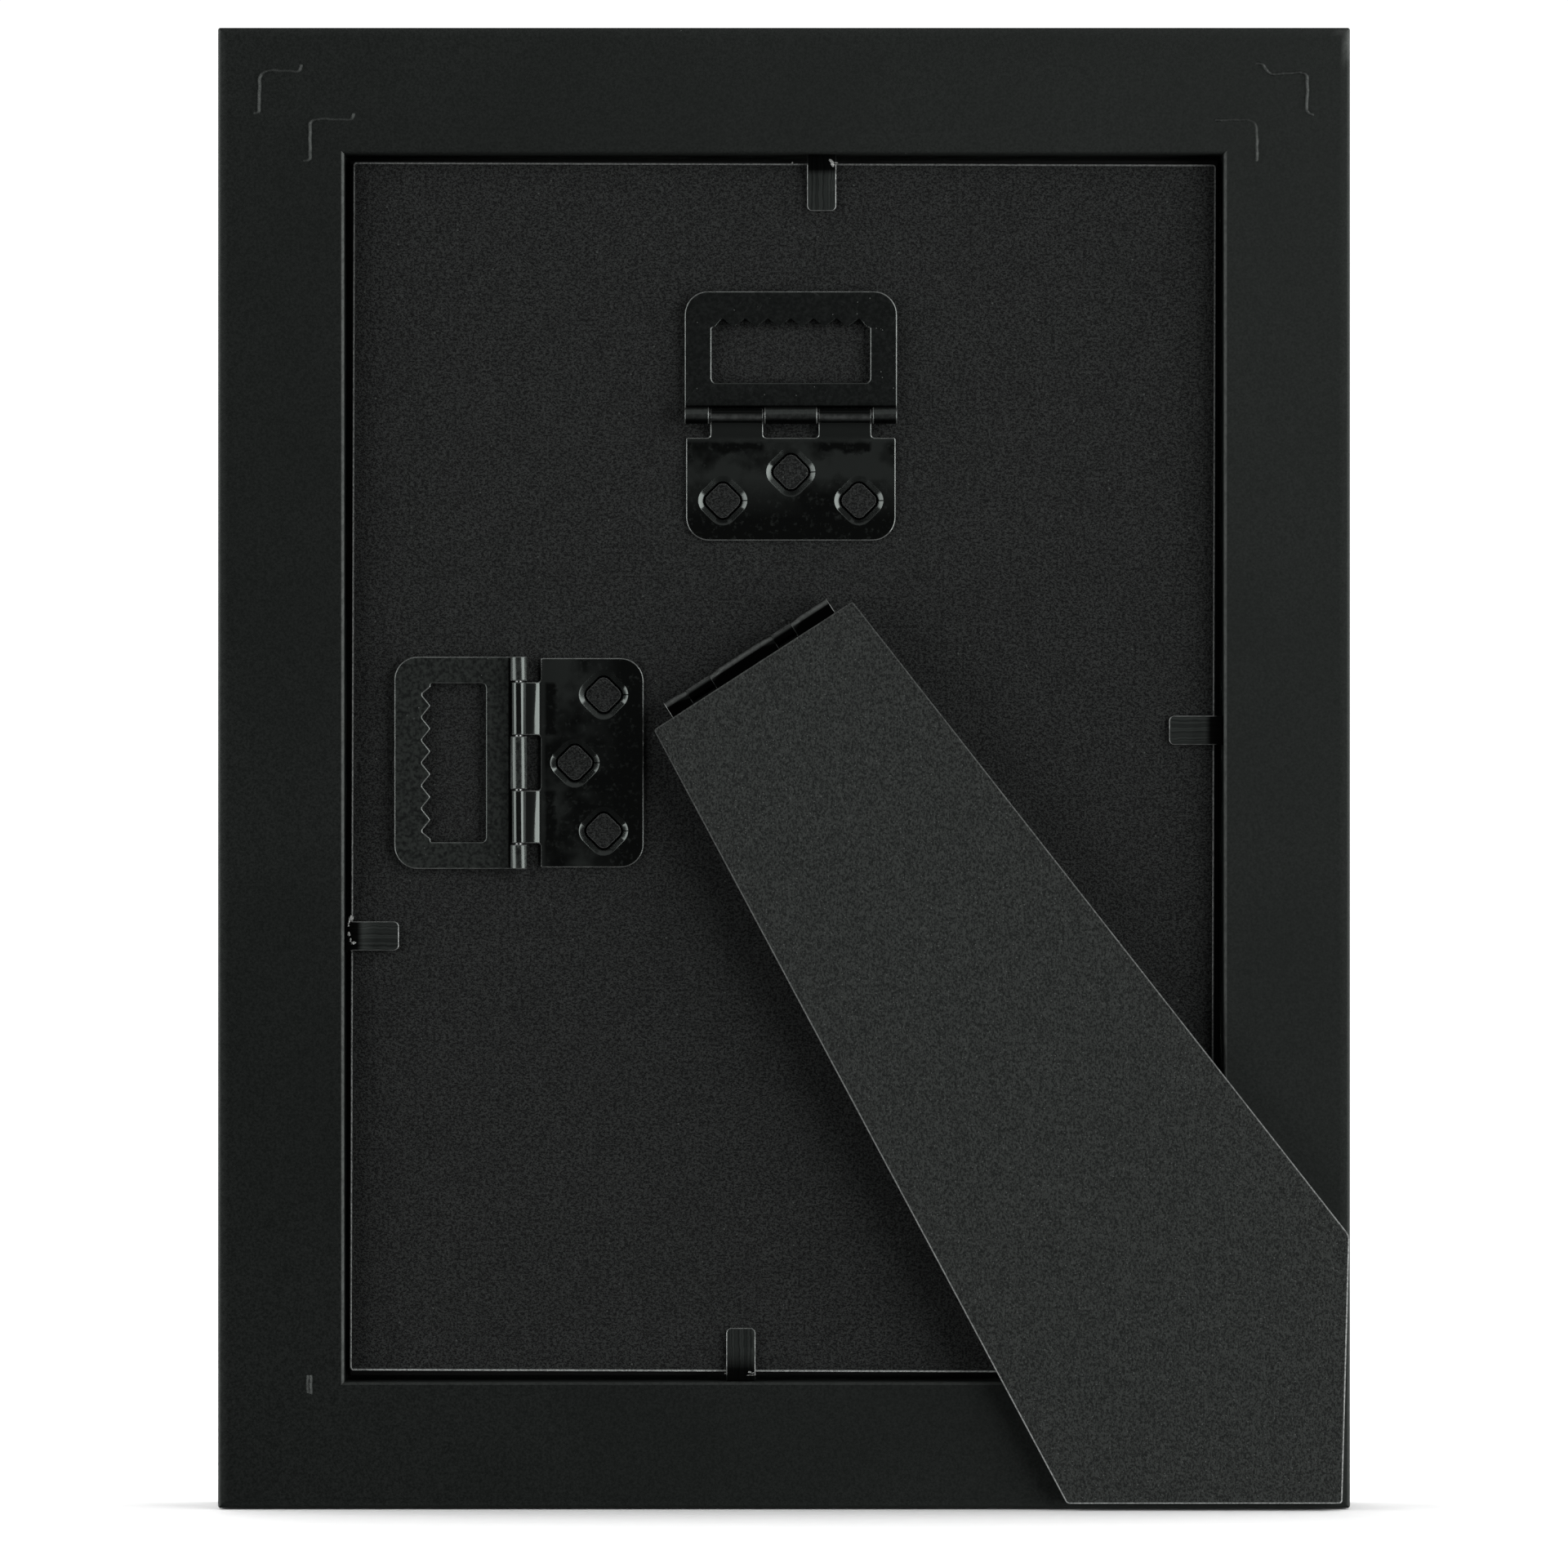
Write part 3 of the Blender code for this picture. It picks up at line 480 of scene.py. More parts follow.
def painted_shade_and_wear(tree, surface, shade, oily, bare):
    """Ends an enamel's look: painted shade lies black and dull on it, and half of its bare edges' look is
    steel.
    """
    shade = coated(tree, shade, [(oily, "#010101"), (bare, "#8b8e8c")])
    shine = node(tree, "MapRange", {"Value": oily, "To Min": 0.65, "To Max": 0.12})[0]
    steel = node(tree, "Math", {0: bare, 1: 0.5}, operation="MULTIPLY")[0]
    join(tree, surface, {"Base Color": shade, "Metallic": steel, "Specular IOR Level": shine})


def satin_enamel():
    """Black stoving enamel on the swinging leaves of the hinges.

    Handling has rubbed it to an even satin with dust and a few hair scratches. It is paler where the
    steel was rolled after painting, painted black as painted shade in the corner beside the barrel and off
    the barrel's crest, and worn off the punched edges, where the steel catches the light.
    """
    made, tree, surface, at = new_material("rubbed_black_enamel_on_steel", ior=1.6, specular_tint=PAINTED_LAMP_GREEN)
    from_pin, dulled, oily = [
        node(tree, "Attribute", {}, attribute_name=name)["Fac"] for name in ("from_pin", "dulled", "oily")
    ]
    # Painted shade: black on the leaf's flat beside the barrel
    corner = band(tree, from_pin, 0.1, 1.45, 0.2)
    oily = node(tree, "Math", {0: oily, 1: corner}, operation="MAXIMUM")[0]
    haze = patches(tree, at, 0.5, 0.3, 0.8)
    shade = node(tree, "Mix", {0: haze, 6: linear("#070808"), 7: linear("#101111")}, data_type="RGBA")[2]
    mottled = patches(tree, at, 0.6, 0.36, 0.62)
    settled = node(tree, "Mix", {0: mottled, 6: linear("#101111"), 7: linear("#2b2e2c")}, data_type="RGBA")[2]
    shade = node(tree, "Mix", {0: dulled, 6: shade, 7: settled}, data_type="RGBA")[2]
    shade = coated(tree, shade, [
        (hair_scratches(tree, at, 0.5), "#2c2e2d"),
        (hair_scratches(tree, at, 2.2), "#2c2e2d"),
        (specks(tree, at, 0.9, 0.24, 0.3), "#5c5f5d"),
    ])
    rough = node(tree, "MapRange", {"Value": haze, "To Min": 0.24, "To Max": 0.32})[0]
    join(tree, surface, {"Roughness": rough})
    painted_shade_and_wear(tree, surface, shade, oily, rubbed_through(tree, at, 0.9, 0.45))
    return made


def gloss_enamel():
    """Black stoving enamel on the fixed plates of the hinges.

    It keeps its wet gloss, near black in a dim room, under soft grey patches that lie mostly near the
    barrel and on its necks, and it is painted black as painted shade in a band just beyond the necks. It is
    dulled where the steel was rolled or drawn down into collars, and worn to the steel along the punched
    edges.
    """
    made, tree, surface, at = new_material("glossy_black_enamel_on_steel", ior=1.6, specular_tint=PAINTED_LAMP_GREEN)
    from_pin, from_middle, dulled, oily = [
        node(tree, "Attribute", {}, attribute_name=name)["Fac"]
        for name in ("from_pin", "from_middle", "dulled", "oily")
    ]
    fade = {"Value": from_pin, "From Min": 9.0, "From Max": 15.0, "To Min": 1.0, "To Max": 0.0}
    near = node(tree, "MapRange", fade)[0]
    flat = node(tree, "Math", {0: from_pin, 1: PLATE_SHOULDER}, operation="GREATER_THAN")[0]
    aside = node(tree, "Math", {0: from_middle}, operation="ABSOLUTE")[0]
    under = band(tree, aside, 4.3, 11.4, 0.5)
    # Painted shade: a band just beyond the step, in the necks' columns, is kept black
    drift = patches(tree, at, 1.6, 0.2, 0.8)
    ragged = node(tree, "Math", {0: drift, 1: 1.2, 2: from_pin}, operation="MULTIPLY_ADD")[0]
    painted_step_shade = band(tree, ragged, PLATE_SHOULDER + 1.3, PLATE_SHOULDER + 2.3, 0.6)
    painted_step_shade = node(tree, "Math", {0: painted_step_shade, 1: under}, operation="MULTIPLY")[0]
    left = node(tree, "Math", {0: 1.0, 1: painted_step_shade}, operation="SUBTRACT")[0]
    grey_patches = patches(tree, at, 7.0, 0.34, 0.62)
    for share in (near, flat, left):
        grey_patches = node(tree, "Math", {0: grey_patches, 1: share}, operation="MULTIPLY")[0]
    neck = band(tree, from_pin, 0.6, PLATE_SHOULDER + 0.4, 0.4)
    neck = node(tree, "Math", {0: neck, 1: 0.9}, operation="MULTIPLY")[0]
    grime = patches(tree, at, 0.7, 0.54, 0.72)
    dust = specks(tree, at, 1.7, 0.34, 0.3)
    shade = coated(tree, linear("#020202"), [
        (grey_patches, "#171918"), (neck, "#1b1d1c"), (dulled, "#1d1f1e"), (grime, "#181a19"), (dust, "#4a4d4b"),
    ])
    rough = node(tree, "MapRange", {"Value": grey_patches, "To Min": 0.15, "To Max": 0.3})[0]
    waves = node(tree, "Bump", {"Height": patches(tree, at, 3.0, 0.2, 0.8), "Distance": 0.008 / 1000})[0]
    join(tree, surface, {"Roughness": rough, "Normal": waves})
    painted_shade_and_wear(tree, surface, shade, oily, rubbed_through(tree, at, 0.8, 0.5))
    return made


def spring_steel():
    """Cold-rolled spring steel strip, blacked in oil.

    Rolling leaves fine lines along the strip and a dark satin. The sheared edges are rubbed bright,
    and a painted shadow lies black where the strip goes into the wood.
    """
    made, tree, surface, at = new_material("oil_blacked_spring_steel", ior=1.6, specular_tint=PAINTED_LAMP_GREEN)
    across = node(tree, "Attribute", {}, attribute_name="across")["Fac"]
    drift = patches(tree, at, 1.5, 0.2, 0.8)
    across = node(tree, "Math", {0: drift, 1: 0.3, 2: across}, operation="MULTIPLY_ADD")[0]
    lines = node(tree, "TexNoise", {"W": across, "Scale": 3.5, "Detail": 2.0}, noise_dimensions="1D")[0]
    lines = node(tree, "MapRange", {"Value": lines, "From Min": 0.42, "From Max": 0.58})[0]
    # Painted shadow at the tab's root
    pooled = node(tree, "Attribute", {}, attribute_name="pooled")["Fac"]
    bare = rubbed_through(tree, at, 0.9, 0.4)
    shade = coated(tree, linear("#060707"), [(lines, "#141615"), (pooled, "#010101"), (bare, "#b5b8b6")])
    shine = node(tree, "MapRange", {"Value": pooled, "To Min": 0.5, "To Max": 0.05})[0]
    rough = node(tree, "MapRange", {"Value": lines, "To Min": 0.38, "To Max": 0.48})[0]
    join(tree, surface, {"Base Color": shade, "Roughness": rough})
    join(tree, surface, {"Metallic": bare, "Specular IOR Level": shine})
    return made


def drawn_wire():
    """Drawn steel wire of the hinge pins: bright metal with faint lines of the die along its length."""
    made, tree, surface, at = new_material("drawn_steel_wire", metallic=1.0)
    lines = patches(tree, at, 0.15, 0.25, 0.75)
    shade = node(tree, "Mix", {0: lines, 6: linear("#6c6e6d"), 7: linear("#9b9d9c")}, data_type="RGBA")[2]
    rough = node(tree, "MapRange", {"Value": lines, "To Min": 0.25, "To Max": 0.4})[0]
    join(tree, surface, {"Base Color": shade, "Roughness": rough})
    return made


def float_glass():
    """Thin float glass: flat and clear, with a faint green tint and a haze of handling."""
    tint = linear("#eef6f2")
    made, tree, surface, at = new_material("float_glass", base_color=tint, ior=1.52, transmission_weight=1.0)
    haze = node(tree, "MapRange", {"Value": patches(tree, at, 25.0, 0.4, 0.8), "To Max": 0.05})[0]
    join(tree, surface, {"Roughness": haze})
    return made


def card_with_painted_shade_back():
    """Blank insert card: off-white uncoated paper with a faint tooth on its front.

    Its edges and back are painted near black as painted shade, so that they stay dark in the rebate.
    """
    made, tree, surface, at = new_material("white_paper_card_with_painted_shade_back", roughness=0.8)
    tooth = patches(tree, at, 0.5, 0.25, 0.75)
    facing = node(tree, "TexCoord", {})["Normal"]
    back = node(tree, "SeparateXYZ", {0: facing})[1]
    # Painted shade: every face but the front is near black
    core = node(tree, "Math", {0: back, 1: -0.5}, operation="GREATER_THAN")[0]
    shade = coated(tree, linear("#e7e5df"), [(tooth, "#f3f1ec"), (core, "#0c0d0d")])
    relief = node(tree, "Bump", {"Height": tooth, "Distance": 0.01 / 1000})[0]
    join(tree, surface, {"Base Color": shade, "Normal": relief})
    return made


def torn_fibre():
    """Grey fibreboard torn up by a tab's spike: pale, ragged and matt."""
    made, tree, surface, at = new_material("torn_grey_fibreboard", roughness=0.95)
    fibres = patches(tree, at, 0.2, 0.3, 0.7)
    shade = node(tree, "Mix", {0: fibres, 6: linear("#6a6c6a"), 7: linear("#c4c6c3")}, data_type="RGBA")[2]
    relief = node(tree, "Bump", {"Height": fibres, "Distance": 0.06 / 1000})[0]
    join(tree, surface, {"Base Color": shade, "Normal": relief})
    return made


LACQUER = lacquer()
BOARD_PAPER = paper_board(
    "black_kraft_paper_on_fibreboard", "#040505", "#2e302f", "#414442", "#a8aba9", 0.42, (1.3, 1, 1)
)
LEG_PAPER = paper_board(
    "charcoal_kraft_paper_on_fibreboard", "#151716", "#383b39", "#565957", "#b4b7b5", 0.45, (1, 1, 1.3)
)
LEAF_ENAMEL = satin_enamel()
PLATE_ENAMEL = gloss_enamel()
BLACKED_STEEL = spring_steel()
WIRE = drawn_wire()
CLEAR_GLASS = float_glass()
INSERT_CARD = card_with_painted_shade_back()
TORN_FIBRE = torn_fibre()


# Moulding


def rail_points(length):
    """A rail's section carried along its outer edge, as (along, inwards, level) in rows.

    Along is the half length less the distance inwards, so that the ends are mitred. The outer corner
    is a quarter circle: a point less than its radius inwards runs along an arc to the mitre. The last
    stretch before the arc has rows of its own, so that a knock's paleness can fade over it.
    """
    edge = RAIL_WIDTH + LIP_REACH
    section = rounded([
        (CROWN_WIDTH, RAIL_REAR, 3.0),
        (0, RAIL_REAR - CROWN_FALL, 0.6),
        (0, RAIL_FRONT, 1.2),
        (edge, RAIL_FRONT, 1.0),
        (edge, LIP_REAR, 0.2),
        (RAIL_WIDTH, LIP_REAR, 0.2),
        (RAIL_WIDTH, RAIL_REAR, 0.45),
    ], 8)
    inwards = section[:, 0]
    straight = length / 2 - np.maximum(inwards, CORNER_RADIUS)
    small = np.maximum(CORNER_RADIUS - inwards, 0)
    lead = 6.0
    straight_rows = np.linspace(0, lead, 9)[:-1, None] + 0 * small
    reach = np.vstack([straight_rows, lead + np.linspace(0, 1, 7)[:, None] * small * math.pi / 4])
    angle = np.maximum(reach - lead, 0) / np.maximum(small, 1e-9)
    along = straight - lead + np.minimum(reach, lead) + small * np.sin(angle)
    depth = inwards + small * (1 - np.cos(angle))
    half = np.stack([along, depth, np.broadcast_to(section[:, 1], along.shape)], -1)
    other = half[::-1] * (-1, 1, 1)
    return np.concatenate([other, half])


def make_rail(name, node_name, length, across, quarter_turns, rubbed, outer_edge_highlight):
    """A mitred rail with its outer edge below, turned to its side of the frame.

    Its rebate edge and its outer back edge carry painted highlights: pale lines along them, as strong as the
    rail's shares.
    """
    points = rail_points(length)
    faces = capped_grid(*points.shape[:2])
    depth = RAIL_REAR - points[..., 2]
    # Painted highlights: lines of light along the rebate edge and the outer back edge
    inner_edge = (np.abs(points[..., 1] - RAIL_WIDTH) < 0.4) & (depth < 0.4) & (depth > 0.001)
    outer_edge = (points[..., 1] < 1.0) & (np.abs(depth - 0.6) < 0.599)
    crest = np.clip(1.3 - np.abs(depth - 0.4) / 0.3, 0, 1)
    wear = np.maximum(inner_edge * rubbed, outer_edge * outer_edge_highlight * crest)
    points = turned(points - (0, across / 2, 0), (0, OUTER_HEIGHT / 2), 90 * quarter_turns)
    from_knock = np.linalg.norm(points - KNOCK, axis=-1)
    wear = np.maximum(wear, outer_edge * np.clip(0.8 - from_knock / 4.0, 0, 1))
    to_right, to_top = points[..., 0] / (OUTER_WIDTH / 2), points[..., 1] / (OUTER_HEIGHT / 2) - 1
    # Painted light, paler towards the right and the top, where the lamps light the frame more
    dusty = 0.1 + 0.07 * to_right + 0.04 * to_top
    made = add_piece(name, points, faces, LACQUER, "lacquered_wood", wear=wear, dusty=dusty)
    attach(made, "frame")
    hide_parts(node_name)


# The last two numbers are each rail's painted highlight on its rebate edge and on its outer back edge
make_rail("lacquered_rail_bottom", "rail_bottom", OUTER_WIDTH, OUTER_HEIGHT, 0, 0.15, 0.12)
make_rail("lacquered_rail_right", "rail_right", OUTER_HEIGHT, OUTER_WIDTH, 1, 0.6, 0.2)
make_rail("lacquered_rail_top", "rail_top", OUTER_WIDTH, OUTER_HEIGHT, 2, 0.0, 0.14)
make_rail("lacquered_rail_left", "rail_left", OUTER_HEIGHT, OUTER_WIDTH, 3, 0.75, 0.45)


# Ridges that the lacquered nails raise in the moulding


def nail_ridge(name, corners, strengths):
    """A low ridge over a nail: a squared-cosine hump carried along a bent line.

    The line runs through its corners, a moving mean over half a millimetre rounds them, and slow
    sines make it waver. The hump's height follows strengths that are spread evenly along it, made
    uneven by two more sines.
    """
    corners = np.array(corners)
    run = np.concatenate([[0], np.cumsum(np.linalg.norm(np.diff(corners, axis=0), axis=1))])
    length = run[-1]
    steps = int(length / 0.07)
    share = np.linspace(0, 1, steps)
    far = share * length
    line = np.column_stack([np.interp(far, run, corners[:, k]) for k in (0, 1)])
    padded = np.pad(line, ((3, 3), (0, 0)), mode="edge")
    line = sum(padded[k:k + steps] for k in range(7)) / 7
    line += 0.03 * np.column_stack([np.sin(3.1 * far), np.sin(2.7 * far + 1)])
    ahead = np.gradient(line, axis=0)
    ahead /= np.linalg.norm(ahead, axis=1, keepdims=True)
    side = np.column_stack([-ahead[:, 1], ahead[:, 0]])
    strength = np.interp(share, np.linspace(0, 1, len(strengths)), strengths)
    uneven = 1 + 0.22 * np.sin(5.3 * far + length) + 0.18 * np.sin(9.7 * far)
    height = strength * uneven * RIDGE_HEIGHT * np.minimum(1, 3 * np.minimum(far, length - far))
    across = np.linspace(-1, 1, 15)
    hump = np.cos(across * math.pi / 2) ** 2
    flat = line[:, None] + side[:, None] * (across * RIDGE_HALF)[:, None]
    level = RAIL_REAR - 0.004 + height[:, None] * hump
    upper = np.concatenate([flat, level[..., None]], -1)
    lower = upper[:, ::-1].copy()
    lower[..., 2] = RAIL_REAR - 0.1
    points = np.concatenate([upper, lower], 1)
    faces = [face[::-1] for face in capped_grid(*points.shape[:2])]
    # The ridges' crowns are painted pale as a highlight, more on the runs that stand upright and face the
    # side lamps than on the level ones
    rubbed = np.minimum(1, 0.5 + strength) * (0.25 + 0.55 * ahead[:, 1] ** 2)
    worn = rubbed[:, None] * np.concatenate([hump, 0 * hump])
    made = add_piece(name, points, faces, LACQUER, "lacquered_wood", wear=worn)
    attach(made, "frame")


nail_ridge("top_left_outer_ridge", [
    (-70.35, 210.55), (-70.6, 209.65), (-71.05, 209.45), (-72.7, 209.55), (-74.5, 209.65), (-75.5, 209.55),
    (-76.2, 209.1), (-76.45, 208.4), (-76.45, 206.85), (-76.55, 205.05), (-76.5, 203.65), (-76.9, 203.4),
    (-77.4, 203.45),
], (0.9, 0.5, 0.5, 0.6, 1.2, 1.1, 1.0, 1.1, 0.5))
nail_ridge("top_left_inner_ridge", [
    (-62.7, 203.45), (-62.95, 202.65), (-63.4, 202.45), (-65.55, 202.5), (-67.35, 202.6), (-68.65, 202.4),
    (-69.05, 202.05), (-69.1, 200.5), (-69.1, 198.7), (-69.05, 196.8), (-69.5, 196.5), (-70.15, 196.45),
], (1.2, 0.5, 0.5, 0.6, 1.2, 1.2, 1.2, 1.0, 0.4))
nail_ridge("top_right_outer_ridge", [
    (68.65, 210.58), (69.35, 210.63), (69.9, 210.48), (70.2, 209.88), (70.55, 209.33), (71.15, 209.08),
    (73.15, 209.18), (75.2, 209.33), (75.95, 209.18), (76.25, 208.78), (76.3, 207.38), (76.3, 205.83),
    (76.15, 204.63), (76.25, 203.78), (76.6, 203.28), (77.3, 203.13),
], (0.5, 1.2, 0.6, 0.5, 0.7, 1.1, 1.1, 1.0, 0.6))
nail_ridge("top_right_inner_ridge", [
    (62.8, 202.4), (63.4, 202.35), (65.55, 202.45), (67.45, 202.45), (68.65, 202.05), (68.9, 201.1),
    (68.95, 199.3), (68.95, 197.5), (68.95, 196.3),
], (1.0, 0.3, 0.3, 0.1, 0.2, 0.5, 0.9, 1.2))
nail_ridge("bottom_left_inner_ridge_left", [(-69.45, 19.45), (-69.4, 16.7)], (0.6, 0.7, 0.6))
nail_ridge("bottom_left_inner_ridge_right", [(-69.0, 19.45), (-69.0, 16.55)], (1.0, 1.2, 1.0))


# Backing board with the grooves that the collars are clinched in


def diamond(centre, turn=0.0, split=False):
    """A collar's ring and its outward directions into the hole: arcs about four centres, traced clockwise.

    The ring is a rounded square on its corner, and starts and ends at its rightmost point.
    """
    sides = [np.linspace(start, start + 90, 9) for start in (45, 135, 225)]
    angle = np.radians(np.concatenate([np.linspace(0, 45, 5), *sides, np.linspace(315, 360, 5)]))
    corner = np.radians(np.repeat([0, 90, 180, 270, 360], [5, 9, 9, 9, 5]))
    if not split:
        angle, corner = angle[:-1], corner[:-1]
    out = np.column_stack([np.cos(angle), np.sin(angle)])
    ring = COLLAR_ARC_CENTRE * np.column_stack([np.cos(corner), np.sin(corner)]) + COLLAR_RADIUS * out
    if split:
        ring[0, 1] += COLLAR_SLIT / 2
        ring[-1, 1] -= COLLAR_SLIT / 2
    tilt = math.radians(turn)
    spin = np.array([[math.cos(tilt), math.sin(tilt)], [-math.sin(tilt), math.cos(tilt)]])
    return (ring @ spin + centre)[::-1], (-out @ spin)[::-1]


def groove(centre, turn):
    """A groove round a slug of board: down its outer wall, across, and up to the slug's worn rim."""
    angle = np.radians(np.linspace(0, 90, 4))
    out, fall = GROOVE_ROUND * (np.sin(angle) - 1), GROOVE_ROUND * (np.cos(angle) - 1)
    outer = np.column_stack([out, fall, 0.5 * np.sin(angle)])
    inner = np.column_stack([-out, fall, np.sin(angle)])[::-1]
    rim = np.vstack([
        outer - (GROOVE_HALF, 0, 0),
        [(-GROOVE_HALF, -GROOVE_DEPTH, 0), (GROOVE_HALF, -GROOVE_DEPTH, 0)],
        inner + (GROOVE_HALF, 0, 0),
    ])
    ring, into = diamond(centre, turn)
    return Edge(ring, into, rim + (0, BOARD_THICKNESS / 2, 0), False, True)


def collar_places(half, reach):
    """Three collars below a pin: two in the far corners and one behind the middle notch."""
    side = half - COLLAR_FROM_SIDE
    end = COLLAR_FROM_END - reach
    return np.array([(-side, end), (0, -PLATE_SHOULDER - COLLAR_FROM_SHOULDER), (side, end)])


def flat_turned(places, pin, degrees):
    """Places on the board, turned and moved without their level."""
    places = np.column_stack([places, np.zeros(len(places))])
    return turned(places, pin, degrees)[:, :2]


def make_board():
    """The board, lying a little askew in the rebate, with a groove for each collar."""
    corners = [(-0.5, -0.5), (0.5, -0.5), (0.5, 0.5), (-0.5, 0.5)] * np.array([BOARD_WIDTH, BOARD_HEIGHT])
    outline = rounded(np.column_stack([corners, [0.5] * 4]))
    outline = flat_turned(outline, BOARD_MIDDLE, BOARD_TILT)
    edges = [plain_edge(outline, rim_section(BOARD_THICKNESS, 0.12, 0.12))]
    for half, reach, pin, degrees in (
        (HANGER_PLATE_HALF, HANGER_REACH, TOP_PIN, 0),
        (HANGER_PLATE_HALF, HANGER_REACH, SIDE_PIN, 90),
        (EASEL_PLATE_HALF, EASEL_REACH, EASEL_PIN, LEG_SLANT),
    ):
        edges += [groove(place, degrees) for place in flat_turned(collar_places(half, reach), pin, degrees)]
    points, wear, faces = sheet(edges)
    # The rim is made paler on its right and lower edges, most on the lower, and less on its top and left
    rubbed = np.where(points[:, 0] > 0, 0.9, 0.2)
    off = points[:, :2] - BOARD_MIDDLE
    rubbed[off[:, 1] > BOARD_HEIGHT / 2 - 0.7] = 0.4
    rubbed[off[:, 1] < 0.7 - BOARD_HEIGHT / 2] = 1.0
    inside = (np.abs(off) < np.array([BOARD_WIDTH, BOARD_HEIGHT]) / 2 - 1).all(1)
    rubbed[inside] = 0.25
    points = points - (0, 0, BOARD_THICKNESS / 2)
    made = add_piece("paper_faced_board", points, faces, BOARD_PAPER, "backing_board", wear=wear * rubbed)
    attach(made, "frame")
    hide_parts("backing_board")


make_board()


# Hinge sheets


def sawtooth_window():
    """The opening of a hanger's leaf, traced clockwise, with blunt teeth along its far side."""
    near = BORE_RADIUS + LEAF_SHEET + 3.6
    crest = HANGER_REACH - WINDOW_FROM_END
    tip = crest - TOOTH_DEPTH
    first = WINDOW_HALF - 0.5
    notches = [[(TOOTH_PITCH * k, crest, 0.35), (TOOTH_PITCH * (k + 0.5), tip, 0.3)] for k in range(-3, 4)]
    return rounded(np.vstack([
        [(WINDOW_HALF, near, 0.7), (-WINDOW_HALF, near, 0.7), (-WINDOW_HALF, tip, 0.24), (-first, tip, 0.24)],
        np.array(notches).reshape(-1, 3)[:-1],
        [(first, tip, 0.24), (WINDOW_HALF, tip, 0.24)],
    ]))


def hinge_outline(spans, half, shoulder, reach, curl, fillet, columns):
    """A hinge sheet laid flat: tongues below y = 0 and a plate with round far corners above.

    Tongues have matching points up both sides. Returns the outline, points between the sides of the
    tongues, and for each tongue the numbers of its left, right and middle points, row by row.
    """
    # rounded() gives 7 points to a corner, so that the middle one of three corners is its [7:14], and 11
    # with 10 steps, so that the last two of four corners are its [22:]
    parts = []
    rungs = []
    inner = []
    tip = 0.25
    count = 0
    rows = np.concatenate([np.linspace(shoulder - fillet, 0, 6), np.linspace(0, tip - curl, 24)[1:]])
    for left, right in spans:
        free_left = left > -half + 0.01
        free_right = right < half - 0.01
        if free_left and not parts:
            parts.append(rounded([(-half, reach, 0), (-half, shoulder, 0.3), (0, shoulder, 0)])[7:14])
        if free_left:
            parts.append(arc((left - fillet, shoulder - fillet), fillet, 90, 0)[:-1])
        parts.append(np.column_stack([np.full(len(rows), left), rows]))
        first = sum(len(part) for part in parts) - len(rows)
        parts.append(arc((left + tip, tip - curl), tip, 180, 270, 4)[1:])
        parts.append(arc((right - tip, tip - curl), tip, 270, 360, 4)[:-1])
        parts.append(np.column_stack([np.full(len(rows), right), rows])[::-1])
        last = sum(len(part) for part in parts) - 1
        if free_right:
            parts.append(arc((right + fillet, shoulder - fillet), fillet, 180, 90)[1:])
        numbers = np.arange(len(rows))
        between = np.linspace(left + 0.3, right - 0.3, columns)
        middle = np.stack(np.meshgrid(between, rows), -1).reshape(-1, 2)
        inner.append(middle)
        rungs.append((first + numbers, last - numbers, count + np.arange(len(middle)).reshape(len(rows), -1)))
        count += len(middle)
    if free_right:
        parts.append(rounded([(0, shoulder, 0), (half, shoulder, 0.3), (half, reach, 0)])[7:14])
    parts.append(rounded([(-half, 0, 1), (half, 0, 1), (half, reach, 3.4), (-half, reach, 3.4)], 10)[22:])
    return np.vstack(parts), np.vstack(inner), rungs


def rolled(points, radius, face, level):
    """A flat sheet rolled round its pin.

    Above y = 0 it stays flat but for a step from the barrel's level to its own: an even slope with
    a parabola at each end. Below y = 0 it runs round a circle: (-sin a, face cos a) times the radius,
    where a is the distance run over the radius. Heights are set off square to the sheet.
    """
    across, along, height = points[..., 0], points[..., 1], points[..., 2]
    flat = np.maximum(along, 0)
    rise = level - face * radius
    share = np.clip((flat - PLATE_SHOULDER + STEP_LENGTH) / STEP_LENGTH, 0, 1)
    near_end = np.minimum(share, 1 - share)
    eased = np.where(near_end < STEP_EASE, near_end ** 2 / (2 * STEP_EASE), near_end - STEP_EASE / 2)
    eased /= 1 - STEP_EASE
    slope = rise * np.minimum(near_end / STEP_EASE, 1) / (1 - STEP_EASE) / STEP_LENGTH
    steep = np.sqrt(1 + slope ** 2)
    angle = np.maximum(-along, 0) / radius
    y = flat - radius * np.sin(angle) - height * (slope / steep + face * np.sin(angle))
    stepped = rise * np.where(share > 0.5, 1 - eased, eased)
    z = face * radius * np.cos(angle) + stepped + height * np.cos(angle) / steep
    return np.stack([across, y, z], -1)


